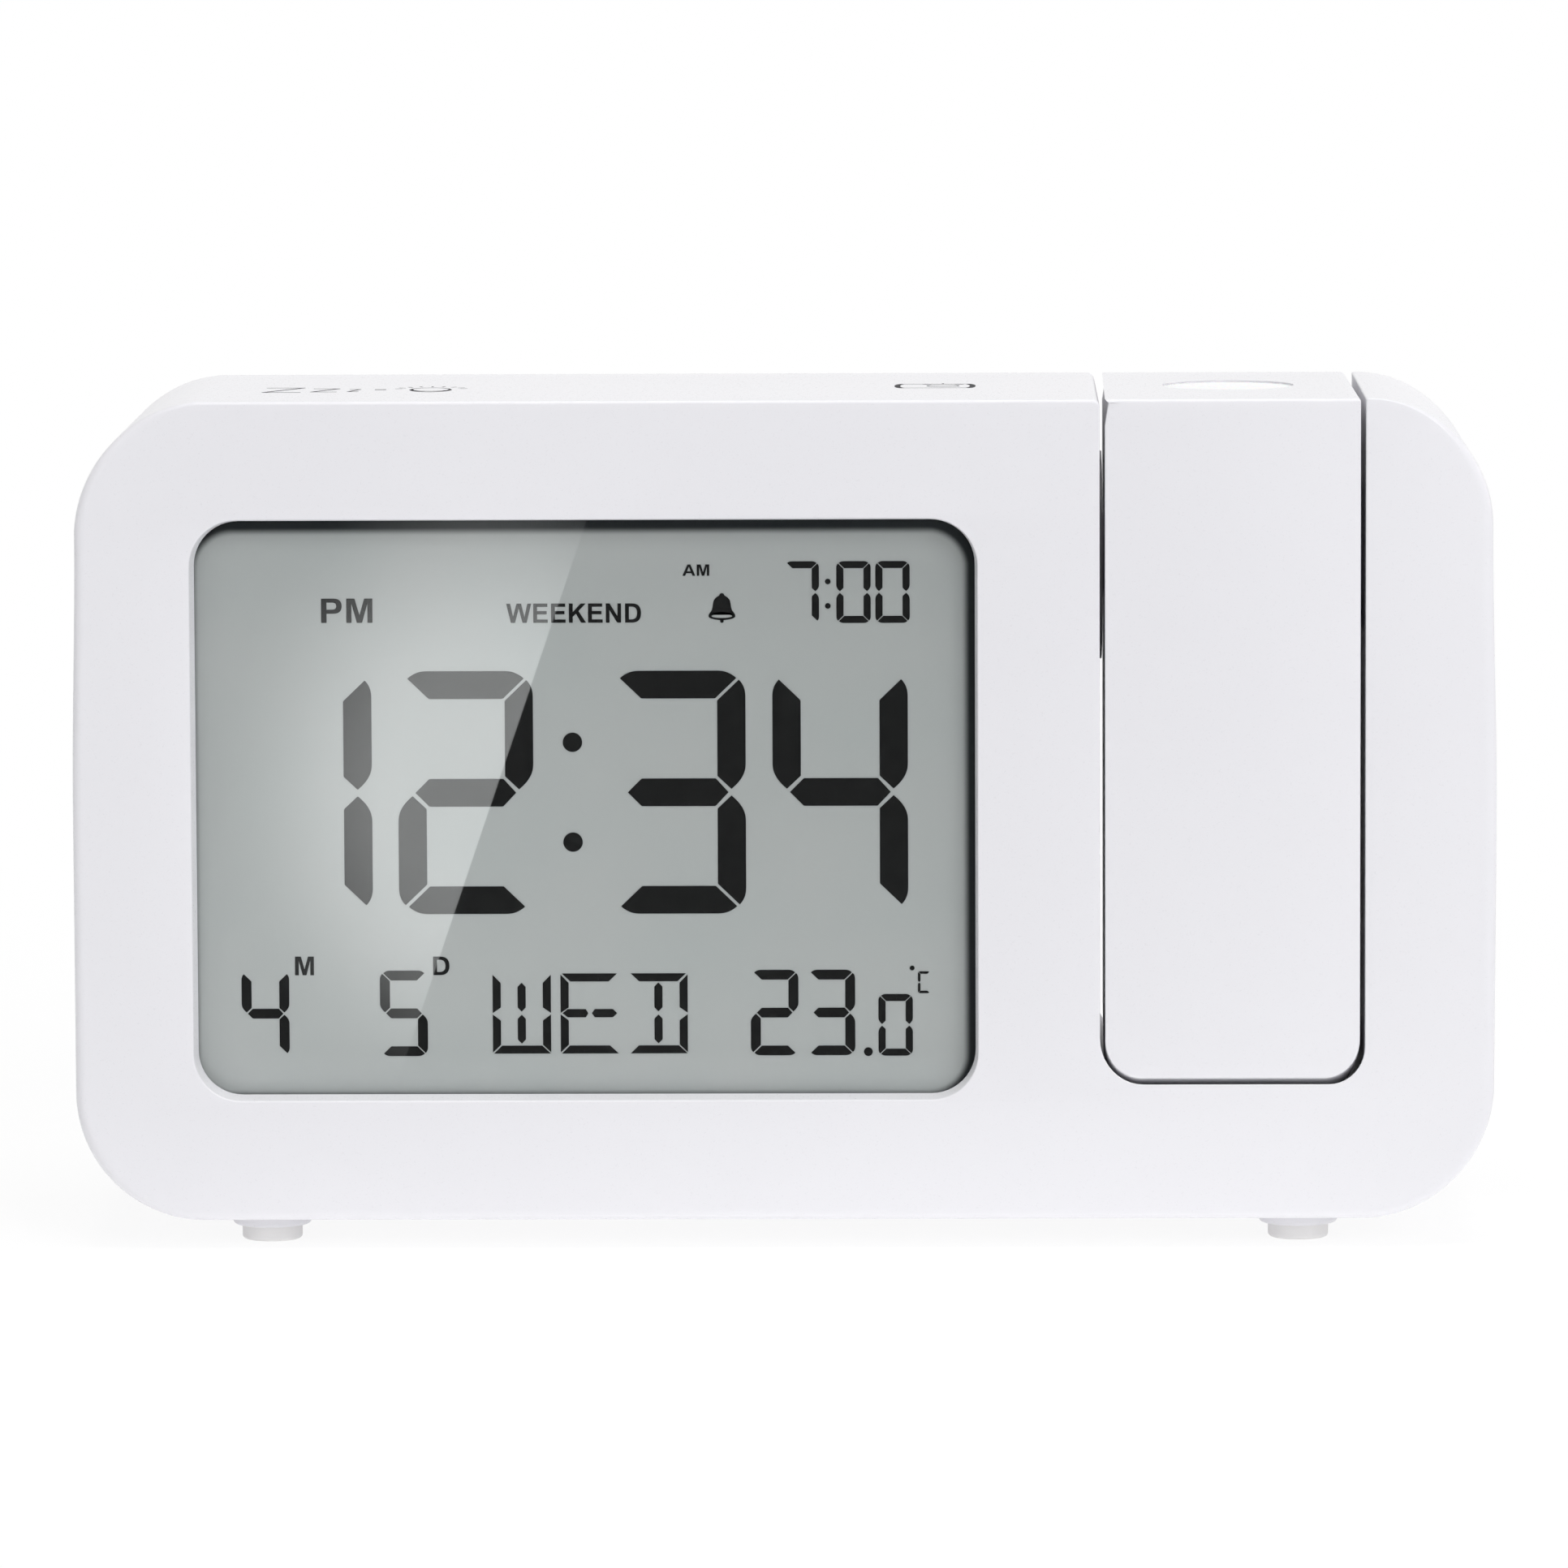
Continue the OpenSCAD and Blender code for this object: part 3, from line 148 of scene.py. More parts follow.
# closed loop of a rounded rectangle in X and Z: four quarter circles of radius r joined by straight runs
def roundedLoop(cx, cz, w, h, r, y, arcSteps=12):
    a = np.radians(np.linspace(0, 90, arcSteps + 1))
    signs = np.array([[1, 1, 0], [-1, 1, 90], [-1, -1, 180], [1, -1, 270]])
    turn = a[None, :] + np.radians(signs[:, 2:3])
    x = cx + signs[:, 0:1] * (w / 2 - r) + r * np.cos(turn)
    z = cz + signs[:, 1:2] * (h / 2 - r) + r * np.sin(turn)
    return np.stack([x.ravel(), np.full(x.size, y), z.ravel()], -1)


# profile (radius, height) turned a full circle round an axis; both ends lie on it, so the form is closed
def lathe(profile, centre, axis="z", steps=64):
    r, h = np.asarray(profile, float).T
    a = np.linspace(0, 2 * np.pi, steps, endpoint=False)
    u, v, w = r[:, None] * np.cos(a), r[:, None] * np.sin(a), np.repeat(h[:, None], steps, 1)
    order = {"z": (u, v, w), "y": (u, w, v), "x": (w, u, v)}[axis]
    return np.stack(order, -1) + np.asarray(centre, float), gridFaces(len(r), steps, closeCols=True), True


# a flat outline (with holes) in X and Z, given a thickness along Y
def plateSheets(loops, thickness):
    shift = np.array([0, thickness, 0], float)
    walls = [(np.stack([loop, loop + shift], 1), gridFaces(len(loop), 2, closeRows=True), False)
        for loop in loops]
    points, faces = flatFill(*loops)
    return walls + [(points, faces, False), (points + shift, faces[:, ::-1], False)]


# cuts closed forms out of a piece and keeps the result as plain mesh
def carve(piece, cutters):
    for sheets in cutters:
        tool = addObject("carvingTool", makeMesh("carvingTool", sheets))
        cut = piece.modifiers.new("cut", "BOOLEAN")
        cut.operation, cut.solver, cut.object = "DIFFERENCE", "EXACT", tool
        bpy.context.view_layer.update()
        done = bpy.data.meshes.new_from_object(piece.evaluated_get(bpy.context.evaluated_depsgraph_get()))
        piece.modifiers.remove(cut)
        bpy.data.objects.remove(tool)
        piece.data = done
    piece.data.set_sharp_from_angle(angle=sharpAngle)


# a node whose inputs are plain values, outputs, or nodes that stand for their first output; colours have no
# alpha
def addNode(tree, kind, inputs=None, **settings):
    node = tree.nodes.new("ShaderNode" + kind)
    for key, value in settings.items():
        setattr(node, key, value)
    for key, value in (inputs or {}).items():
        socket = node.inputs[key]
        if isinstance(value, bpy.types.Node):
            value = value.outputs[0]
        if isinstance(value, bpy.types.NodeSocket):
            tree.links.new(value, socket)
        else:
            socket.default_value = (*value, 1.0) if socket.type == "RGBA" else value
    return node


def maths(tree, operation, *values):
    return addNode(tree, "Math", dict(enumerate(values)), operation=operation)


def vectorMaths(tree, operation, *values):
    return addNode(tree, "VectorMath", dict(enumerate(values)), operation=operation)


def ownSpot(tree):
    return addNode(tree, "TexCoord").outputs["Object"]


# noise on the piece's own coordinates, stretched where the finish has a direction
def noiseOn(tree, scale, detail=3.0, rough=0.55, stretch=(1, 1, 1)):
    turned = addNode(tree, "Mapping", {"Vector": ownSpot(tree), "Scale": stretch})
    return addNode(tree, "TexNoise", {"Vector": turned, "Scale": scale, "Detail": detail, "Roughness": rough})


# the value's span from fromLow to fromHigh becomes low to high, and stays at those ends outside it
def ranged(tree, value, low, high, fromLow=0.3, fromHigh=0.7, kind="LINEAR"):
    return addNode(tree, "MapRange", {"Value": value, "From Min": fromLow, "From Max": fromHigh,
        "To Min": low, "To Max": high}, interpolation_type=kind)


def mixColour(tree, factor, a, b):
    return addNode(tree, "Mix", {0: factor, 6: a, 7: b}, data_type="RGBA").outputs[2]


def mixShaders(tree, factor, a, b):
    return addNode(tree, "MixShader", {0: factor, 1: a, 2: b})


# drifts from look's colour to its tint as the node goes from low to high
def tinted(tree, node, look):
    return mixColour(tree, ranged(tree, node, 0, 1), look["colour"], look["tint"])


# one node moves the roughness between look's two ends, one lifts the surface by look's bump, which is a
# strength and a depth in millimetres, and look's values are set on the shader's own sockets
def surface(tree, look, colour, gloss, height):
    strength, depth = look["bump"]
    bump = addNode(tree, "Bump", {"Height": height, "Strength": strength, "Distance": depth * mm})
    return addNode(tree, "BsdfPrincipled", {"Base Color": colour,
        "Roughness": ranged(tree, gloss, *look["rough"]), "Normal": bump, **look["values"]})


# gives a material or world the shader that build makes from the settings in look
def shaded(block, build, look, output="OutputMaterial"):
    block.use_nodes = True
    block.node_tree.nodes.clear()
    addNode(block.node_tree, output, {0: build(block.node_tree, look)})
    return block


def makeMaterial(name, build, look):
    return shaded(bpy.data.materials.new(name), build, look)


# base colour drifts to a second tint in wide soft patches, a fine grain moves the gloss and lifts the surface
def plainFinish(tree, look):
    stretch = look.get("stretch", (1, 1, 1))
    grain = noiseOn(tree, look["grain"], 3.0, 0.6, stretch)
    return surface(tree, look, tinted(tree, noiseOn(tree, look["patch"], 2.0, 0.5, stretch), look), grain,
        grain)


# what each row of looks holds; grain and patch are noise scales, and a row without stretch has an even noise
columns = ("colour", "tint", "patch", "grain", "rough", "bump", "values", "stretch")
looks = {
    "shell_plastic": ((0.815, 0.808, 0.838), (0.828, 0.822, 0.85), 22, 5200, (0.27, 0.3), (0.012, 0.004),
        {"Specular IOR Level": 0.5}),
    "cover_plastic": ((0.8, 0.795, 0.82), (0.82, 0.815, 0.838), 26, 2600, (0.5, 0.62), (0.35, 0.04),
        {"Specular IOR Level": 0.42}),
    "key_plastic": ((0.62, 0.63, 0.66), (0.66, 0.67, 0.7), 60, 3800, (0.45, 0.58), (0.25, 0.03),
        {"Specular IOR Level": 0.45}),
    "slider_plastic": ((0.045, 0.045, 0.05), (0.07, 0.07, 0.078), 120, 4200, (0.42, 0.6), (0.3, 0.03), {}),
    "slide_glass": ((0.03, 0.035, 0.06), (0.05, 0.055, 0.09), 300, 6000, (0.04, 0.1), (0.02, 0.01), {}),
    "diffuser": ((0.86, 0.87, 0.86), (0.8, 0.82, 0.82), 900, 2400, (0.3, 0.5), (0.5, 0.08),
        {"Subsurface Weight": 0.2, "Subsurface Scale": 0.002}),
    "holder_plastic": ((0.66, 0.66, 0.68), (0.72, 0.72, 0.74), 45, 1800, (0.45, 0.6), (0.2, 0.03), {}),
    "foam": ((0.018, 0.018, 0.02), (0.035, 0.035, 0.038), 900, 4200, (0.85, 0.98), (0.8, 0.12),
        {"Specular IOR Level": 0.2}),
    "can_steel": ((0.62, 0.62, 0.64), (0.7, 0.7, 0.71), 180, 2600, (0.22, 0.36), (0.12, 0.02),
        {"Metallic": 1.0}, (1, 6, 1)),
    "spring_steel": ((0.7, 0.69, 0.66), (0.78, 0.77, 0.74), 400, 5000, (0.16, 0.28), (0.08, 0.01),
        {"Metallic": 1.0}),
    "electrode_foil": ((0.86, 0.55, 0.24), (0.78, 0.46, 0.18), 260, 1500, (0.22, 0.38), (0.3, 0.05),
        {"Metallic": 1.0}),
    "sensor_bead": ((0.2, 0.045, 0.03), (0.28, 0.07, 0.045), 600, 3500, (0.18, 0.3), (0.1, 0.04),
        {"Coat Weight": 0.4}),
    "lead_red": ((0.5, 0.03, 0.025), (0.58, 0.05, 0.04), 300, 2800, (0.4, 0.52), (0.15, 0.02), {}),
    "lead_grey": ((0.34, 0.34, 0.35), (0.42, 0.42, 0.43), 300, 2800, (0.45, 0.58), (0.2, 0.02), {}),
    "bush_nylon": ((0.72, 0.72, 0.75), (0.76, 0.76, 0.78), 150, 3200, (0.4, 0.52), (0.15, 0.02), {}),
    "washer_rubber": ((0.025, 0.025, 0.027), (0.04, 0.04, 0.042), 500, 3000, (0.7, 0.86), (0.4, 0.04), {}),
    "foot_rubber": ((0.88, 0.87, 0.86), (0.9, 0.89, 0.88), 240, 2600, (0.62, 0.78), (0.3, 0.04),
        {"Specular IOR Level": 0.35}),
    "projector_plastic": ((0.035, 0.035, 0.038), (0.05, 0.05, 0.054), 120, 2200, (0.55, 0.7), (0.35, 0.05),
        {}),
    "capacitor_sleeve": ((0.02, 0.03, 0.12), (0.03, 0.045, 0.16), 500, 2400, (0.2, 0.32), (0.1, 0.02),
        {"Coat Weight": 0.3}),
    "led_epoxy": ((0.86, 0.8, 0.52), (0.92, 0.9, 0.74), 700, 3000, (0.12, 0.22), (0.06, 0.02),
        {"Coat Weight": 0.5}),
    "chip_epoxy": ((0.018, 0.018, 0.019), (0.032, 0.032, 0.034), 900, 5200, (0.5, 0.7), (0.3, 0.02), {}),
    "lens_window": ((0.93, 0.93, 0.94), (0.96, 0.96, 0.965), 90, 2600, (0.08, 0.14), (0.04, 0.01),
        {"Subsurface Weight": 0.3, "Subsurface Scale": 0.002, "Coat Weight": 0.4}),
    "segmentInk": ((0.0135, 0.0135, 0.0135), (0.016, 0.016, 0.016), 500, 4000, (0.5, 0.62), (0.05, 0.005),
        {"Specular IOR Level": 0.15}),
    "printInk": ((0.07, 0.07, 0.075), (0.1, 0.1, 0.105), 900, 4500, (0.75, 0.85), (0.1, 0.01),
        {"Specular IOR Level": 0.05}),
}
made = {name: makeMaterial(name, plainFinish, dict(zip(columns, row))) for name, row in looks.items()}


# green solder mask over darker bare gaps: bands of a wave, broken by noise, read as copper tracks under it
def boardFinish(tree, look):
    spot = ownSpot(tree)
    wave = addNode(tree, "TexWave", {"Vector": spot, "Scale": look["tracks"], "Distortion": look["wander"],
        "Detail": 2.0, "Detail Scale": 0.7}, bands_direction="DIAGONAL")
    holes = addNode(tree, "TexVoronoi", {"Vector": spot, "Scale": look["holes"]})
    track, pad = ranged(tree, wave.outputs[1], 0, 1, *look["trackEdge"]), ranged(tree, holes, 1, 0,
        *look["padEdge"])
    green = mixColour(tree, track, look["mask"], look["copperUnder"])
    return surface(tree, look, mixColour(tree, pad, green, look["pad"]), noiseOn(tree, look["grain"]), track)


made["board_laminate"] = makeMaterial("board_laminate", boardFinish, {
    "tracks": 260, "wander": 14.0, "trackEdge": (0.42, 0.5), "holes": 420, "padEdge": (0.14, 0.18),
    "grain": 1600, "rough": (0.22, 0.36), "bump": (0.3, 0.05), "mask": (0.012, 0.10, 0.035),
    "copperUnder": (0.03, 0.20, 0.07), "pad": (0.62, 0.60, 0.55), "values": {"Specular IOR Level": 0.5}})


# thin dark and light layers stacked along one axis, as in a conductive strip
def layeredFinish(tree, look):
    wave = addNode(tree, "TexWave", {"Vector": ownSpot(tree), "Scale": look["layers"], "Distortion": 0.2},
        bands_direction=look["along"])
    colour = mixColour(tree, wave.outputs[1], look["dark"], look["light"])
    return surface(tree, look, colour, noiseOn(tree, look["grain"]), wave.outputs[1])


made["zebra_rubber"] = makeMaterial("zebra_rubber", layeredFinish, {
    "layers": 900, "along": "X", "dark": (0.02, 0.02, 0.022), "light": (0.42, 0.40, 0.36), "grain": 2500,
    "rough": (0.6, 0.75), "bump": (0.2, 0.02), "values": {}})


# printed sleeves of two cells laid opposite ways: dark body with a band where
# (x - midX) sign(midZ - z) > bandFrom
def sleeveFinish(tree, look):
    x, _, z = addNode(tree, "SeparateXYZ", {0: ownSpot(tree)}).outputs
    way = maths(tree, "SIGN", maths(tree, "SUBTRACT", look["midZ"] * mm, z))
    along = maths(tree, "MULTIPLY", maths(tree, "SUBTRACT", x, look["midX"] * mm), way)
    band = ranged(tree, along, 0, 1, look["bandFrom"] * mm, (look["bandFrom"] + look["bandEdge"]) * mm)
    wear = noiseOn(tree, look["wear"], 4.0)
    return surface(tree, look, mixColour(tree, band, tinted(tree, wear, look), look["band"]), wear, wear)


made["cell_can"] = makeMaterial("cell_can", sleeveFinish, {
    "bandFrom": 11, "bandEdge": 0.3, "midX": -35, "midZ": 25.2, "colour": (0.05, 0.07, 0.10), "wear": 500,
    "tint": (0.07, 0.09, 0.13), "band": (0.55, 0.36, 0.16), "rough": (0.2, 0.34), "bump": (0.1, 0.03),
    "values": {"Metallic": 0.6, "Coat Weight": 0.3}})


# clear lens: tinted by a faint wave, glass for the eye; shadow rays pass straight through
def clearFinish(tree, look):
    wave = noiseOn(tree, look["waves"], 2.0)
    glass = surface(tree, look, tinted(tree, wave, look), wave, wave)
    through = addNode(tree, "BsdfTransparent", {"Color": look["through"]})
    return mixShaders(tree, addNode(tree, "LightPath").outputs["Is Shadow Ray"], glass, through)


made["optic_clear"] = makeMaterial("optic_clear", clearFinish, {
    "waves": 200, "colour": (0.98, 0.99, 0.995), "tint": (0.96, 0.98, 0.99), "through": (0.97, 0.98, 0.98),
    "rough": (0.0, 0.02), "bump": (0.005, 0.02), "values": {"Transmission Weight": 1.0, "IOR": 1.53}})


# thin clear sheet: lets light straight through with a faint tint and mirrors headOn + (1 - headOn) facing^5
# of it, with the gloss broken by fine wipe marks
def sheetFinish(tree, look):
    wave = noiseOn(tree, look["waves"], 2.0)
    marks = noiseOn(tree, look["marks"], 4.0, 0.6, look["wiped"])
    clear = addNode(tree, "BsdfTransparent", {"Color": tinted(tree, wave, look)})
    gloss = addNode(tree, "BsdfGlossy", {"Roughness": ranged(tree, marks, *look["rough"])})
    facing = addNode(tree, "LayerWeight", {"Blend": 0.5}).outputs["Facing"]
    return mixShaders(tree, ranged(tree, maths(tree, "POWER", facing, 5.0), look["headOn"], 1, 0, 1), clear,
        gloss)


made["clear_sheet"] = makeMaterial("clear_sheet", sheetFinish, {
    "waves": 60, "marks": 900, "wiped": (1, 1, 0.15), "colour": (0.99, 0.995, 0.995),
    "tint": (0.98, 0.99, 0.99), "rough": (0.0, 0.012), "headOn": 0.07})


# grey-green display cell: a soft drift of tone, a fine pixel weave, a satin polariser, then painted light: a
# paler tone laid on by one point attribute, and painted shadow: a dark rim laid on by another
def displayFinish(tree, look):
    weave = addNode(tree, "TexVoronoi", {"Vector": ownSpot(tree), "Scale": look["weave"]})
    lift, paintedShadow = (addNode(tree, "Attribute", attribute_name=key).outputs["Fac"] for key in ("lift", "paintedShadow"))
    tone = tinted(tree, noiseOn(tree, look["drift"], 1.0), look)
    tone = mixColour(tree, ranged(tree, weave, *look["flecked"]), tone, look["fleck"])
    tone = mixColour(tree, paintedShadow, mixColour(tree, lift, tone, look["paintedLight"]), look["rim"])
    return surface(tree, look, tone, weave, weave)


# the paler colour is painted light and the near-black colour is painted shadow, both laid on by the face's
# point attributes
made["lcd_glass"] = makeMaterial("lcd_glass", displayFinish, {
    "weave": 3200, "drift": 12, "colour": (0.502, 0.516, 0.506), "tint": (0.515, 0.53, 0.52),
    "flecked": (0, 0.25, 0.0, 0.9), "fleck": (0.489, 0.502, 0.493), "paintedLight": (0.83, 0.855, 0.845),
    "rim": (0.030, 0.034, 0.037), "rough": (0.5, 0.6, 0.0, 0.8), "bump": (0.05, 0.01),
    "values": {"Specular IOR Level": 0.25}})
print("materials made:", len(made))

# every carried-over node takes the finish of its own slot
for node in cadNodes.values():
    for k, slotMaterial in enumerate(node.data.materials):
        node.data.materials[k] = made[slotMaterial.name.split(".")[0]]

# outlines of the two white shells; "soft" is how far the front edge is rounded at each stretch of the outline
caseLook = {"corner": 13.6, "wall": 2.2, "frontWall": 2.5, "softSide": 1.25, "softTop": 0.45,
    "softSlot": 0.16, "softRear": 0.5, "slotX0": 33.24, "slotX1": 61.16, "slotR": 57.9,
    "slotRims": (4.6, 3.8), "slotTopLeft": 0.8, "slotTopRight": 0.2, "blockX0": 31.44, "blockX1": 62.96,
    "blockZ": 12.1, "sag": 0.2, "crownSpan": 30.0, "crownFrom": (62, 72),
    "crown": {"left": (0.45, 0.0), "right": (0.45, 0.15)}, "ease": {"left": (0.9, 0.0),
        "right": (-0.15, 0.7)}, "printRoom": 0.012}
windowLook = {"w": 82.6, "h": 61.3, "r": 4.9, "soft": 0.22, "draft": 0.3, "deepShift": (0.13, 0.12),
    "edgeShift": 0.6, "deepGrow": 0.1}
armLook = {"x0": 33.78, "x1": 60.62, "corner": 3.8, "wall": 1.6, "frontWall": 1.6, "drumR": 57.3,
    "topCorner": 0.4, "softTop": 0.45, "softSide": 0.15, "softDrum": 0.16, "softRear": 0.8, "draftLeft": 0.32,
    "draftRight": 0.3}


# one run of stations: each column is a place on the outline, its direction into the wall, how soft the front
# edge is there, the place on the hollow that faces it, and for both the radius and the share of the drum
# curve
def run(n, x, z, nx, nz, soft, hollowX, hollowZ, rho=0, share=0, hollowRho=0, hollowShare=0):
    t = np.linspace(0, 1, n, endpoint=False)
    values = (x, z, nx, nz, soft, hollowX, hollowZ, rho, share, hollowRho, hollowShare)
    return np.stack([np.broadcast_to(v(t) if callable(v) else v, n) for v in values]).astype(float)


# a + (b - a) t
def between(a, b):
    return lambda t: a + (b - a) * t


# a + (b - a) (3t^2 - 2t^3)
def softened(a, b):
    return lambda t: a + (b - a) * t * t * (3 - 2 * t)


# base + size sin a or base + size cos a, for a over a quarter turn
def arc(base, size, wave):
    return lambda t: base + size * wave(np.radians(90 * t))


sin, cos = np.sin, np.cos
plusSin, plusCos, minusSin, minusCos = arc(0, 1, sin), arc(0, 1, cos), arc(0, -1, sin), arc(0, -1, cos)


# height at depth y: a straight height, or the drum pivotZ - sqrt(rho^2 - (y - midY)^2), or a share of each
def stationHeight(straight, rho, share, y):
    drum = pivotZ - np.sqrt(np.maximum(rho ** 2 - (y - midY) ** 2, 0))
    return np.where(share > 0, straight + share * (drum - straight), straight)


# quarter of a round corner, from angle a0 to a1 about (cx, cz); the hollow's quarter is raised by lift and
# held right of lowX and below highZ
def cornerRun(n, cx, cz, r, a0, a1, soft, hollowR, lowX=-unbounded, highZ=unbounded, lift=0.0):
    a = np.radians(np.linspace(a0, a1, n, endpoint=False))
    u, v = cos(a), sin(a)
    return run(n, cx + r * u, cz + r * v, -u, -v, soft, np.maximum(cx + hollowR * u, lowX),
        np.minimum(cz + lift + hollowR * v, highZ))


# clockwise from the top left corner: top, slot and its floor, rest of the top, right side, bottom, left side
def caseStations(s):
    l, r, t, c, w = leftX, rightX, topZ - s["printRoom"], s["corner"], s["wall"]
    b, hb = bottomZ - s["sag"], bottomZ + w
    x0, x1, floorR, (rimLeft, rimRight) = s["slotX0"], s["slotX1"], s["slotR"], s["slotRims"]
    p, q, h0, h1, hz = s["slotTopLeft"], s["slotTopRight"], s["blockX0"], s["blockX1"], s["blockZ"]
    side, top, slot, crest, hr = s["softSide"], s["softTop"], s["softSlot"], q * 0.8, c - w
    blockTop = t - c + math.sqrt(hr ** 2 - (h1 - (r - c)) ** 2)
    return np.concatenate([
        run(40, between(l + c, x0 - p), t, 0, -1, top, between(l + c, h0), t - w),
        run(7, arc(x0 - p, p, sin), arc(t - p, p, cos), minusSin, minusCos, softened(top, slot), h0, t - w),
        run(24, x0, t - p, -1, 0, slot, h0, between(t - w, hz), floorR - rimLeft, between(0, 1)),
        run(10, arc(x0 + rimLeft, -rimLeft, cos), t, minusCos, minusSin, slot, h0, hz,
            arc(floorR - rimLeft, rimLeft, sin), 1),
        run(16, between(x0 + rimLeft, x1 - rimRight), t, 0, -1, slot, between(h0, h1), hz, floorR, 1),
        run(10, arc(x1 - rimRight, rimRight, sin), t, plusSin, minusCos, slot, h1, hz,
            arc(floorR - rimRight, rimRight, cos), 1),
        run(24, x1, t - q, 1, 0, slot, h1, between(hz, blockTop), floorR - rimRight, between(1, 0)),
        run(6, arc(x1 + q, -q, cos), arc(t - q, q, sin), plusCos, minusSin, crest, h1, blockTop),
        run(2, between(x1 + q, r - c), t, 0, -1, crest, h1, blockTop),
        cornerRun(36, r - c, t - c, c, 90, 0, softened(crest, side), hr, h1, blockTop),
        run(30, r, between(t - c, b + c), -1, 0, side, r - w, between(t - c, hb + hr)),
        cornerRun(36, r - c, b + c, c, 0, -90, side, hr, lift=s["sag"]),
        run(40, between(r - c, l + c), b, 0, 1, side, between(r - c, l + c), hb),
        cornerRun(36, l + c, b + c, c, -90, -180, side, hr, lift=s["sag"]),
        run(30, l, between(b + c, t - c), 1, 0, side, l + w, between(hb + hr, t - c)),
        cornerRun(36, l + c, t - c, c, 180, 90, softened(side, top), hr)], 1)


# clockwise from the top left corner: top, right side, drum curve and left side
def armStations(s):
    x0, x1, c, w, t, p = s["x0"], s["x1"], s["corner"], s["wall"], topZ, s["topCorner"]
    top, side, drum, hr, rho = s["softTop"], s["softSide"], s["softDrum"], c - w, s["drumR"] - c
    return np.concatenate([
        run(20, between(x0 + p, x1 - p), t, 0, -1, top, between(x0 + w, x1 - w), t - w),
        run(6, arc(x1 - p, p, sin), arc(t - p, p, cos), minusSin, minusCos, softened(top, side), x1 - w,
            t - w),
        run(28, x1, t - p, -1, 0, side, x1 - w, t - w, rho, between(0, 1), rho, between(0, 1)),
        run(14, arc(x1 - c, c, cos), t, minusCos, plusSin, softened(side, drum), arc(x1 - c, hr, cos), t,
            arc(rho, c, sin), 1, arc(rho, hr, sin), 1),
        run(20, between(x1 - c, x0 + c), t, 0, 1, drum, between(x1 - c, x0 + c), t, rho + c, 1, rho + hr, 1),
        run(14, arc(x0 + c, -c, sin), t, plusSin, plusCos, softened(drum, side), arc(x0 + c, -hr, sin), t,
            arc(rho, c, cos), 1, arc(rho, hr, cos), 1),
        run(28, x0, t - p, 1, 0, side, x0 + w, t - w, rho, between(1, 0), rho, between(1, 0)),
        run(6, arc(x0 + p, -p, sin), arc(t - p, p, sin), plusCos, minusSin, softened(side, top), x0 + w,
            t - w)], 1)


# the case's sides are slightly bowed: full width at mid height, a little less towards the corners; a
# corner's ease e makes it rounder: at angle a round the corner its points move in by e (cos a + sin a - 1)
def crown(points, s):
    x, z = points[..., 0], points[..., 2]
    midZ = (topZ + bottomZ) / 2
    bow = np.sin(np.pi / 2 * np.clip(np.abs(z - midZ) / s["crownSpan"], 0, 1)) ** 2
    bow = bow * smoothStep(*s["crownFrom"], np.abs(x))
    ofSide = lambda key: np.where(x > 0, *(np.where(z > midZ, *s[key][side]) for side in ("right", "left")))
    inX = np.abs(x) - (rightX - s["corner"])
    inZ = np.abs(z - midZ) - (topZ - midZ - s["corner"])
    reach = np.maximum(np.hypot(inX, inZ), 1)
    inward = np.where((inX > 0) & (inZ > 0), ofSide("ease") * ((inX + inZ) / reach - 1), 0) / reach
    points[..., 0] = x - np.sign(x) * (ofSide("crown") * bow + inward * inX)
    points[..., 2] = z - np.sign(z - midZ) * inward * inZ
    return points


# the arm narrows to the rear: each side moves in by draft (y - frontY) / depth, in proportion to its
# distance from armX
def drafted(points, s):
    back = (points[..., 1] - frontY) / (rearY - frontY)
    x = points[..., 0] - armX
    draft = np.where(x > 0, s["draftRight"], s["draftLeft"]) / (s["x1"] - armX)
    points[..., 0] = armX + x * (1 - back * draft)
    return points


# rings from the front face round the soft edge, back along the side, round the rear edge:
# inset = soft (1 - sin a) and depth = soft (1 - cos a) for a from 0 to 90 degrees; where a corner is tighter
# than the inset, the ring is held inside low, high and top, each moved in by the inset
def shellRings(stations, softRear, low, high, top, backSteps=22, edgeSteps=9):
    x, z, nx, nz, soft, _, _, rho, share, _, _ = stations[:, :, None]
    a = np.radians(np.linspace(0, 90, edgeSteps))
    rearInset = softRear * (1 - np.cos(a)) + 0 * x
    inset = np.concatenate([soft * (1 - np.sin(a)), np.zeros((x.size, backSteps)), rearInset], 1)
    y0, y1 = frontY + soft, rearY - softRear
    middle = y0 + (y1 - y0) * np.linspace(0, 1, backSteps + 2)[None, 1:-1]
    y = np.concatenate([frontY + soft * (1 - np.cos(a)), middle, y1 + softRear * np.sin(a) + 0 * x], 1)
    ringX = np.clip(x + nx * inset, low[:, None] + inset, high - inset)
    ringZ = stationHeight(z, rho, share, y) + nz * inset
    return np.stack([ringX, y, np.minimum(ringZ, np.where(share > 0, unbounded, top - inset))], -1)


# rings of the hollow from the rear rim to the inner front wall
def hollowRings(stations, y1, steps):
    y = np.linspace(rearY, y1, steps)[None, :]
    x, z, rho, share = (stations[k][:, None] for k in (5, 6, 9, 10))
    return np.stack([x + 0 * y, y + 0 * x, stationHeight(z, rho, share, y)], -1)


# outside and hollow as one skin, closed by the front face and the inner front wall, both with the openings
def shellSheets(outer, hollow, openings=()):
    skin = np.concatenate([outer, hollow], 1)
    sheets = [(skin, gridFaces(len(skin), skin.shape[1], closeRows=True), True)]
    for edge, k in ((outer[:, 0], 0), (hollow[:, -1], -1)):
        sheets.append((*flatFill(edge, *[rings[:, k] for rings in openings]), False))
    return sheets + [(rings, gridFaces(len(rings), rings.shape[1], closeRows=True), True)
        for rings in openings]


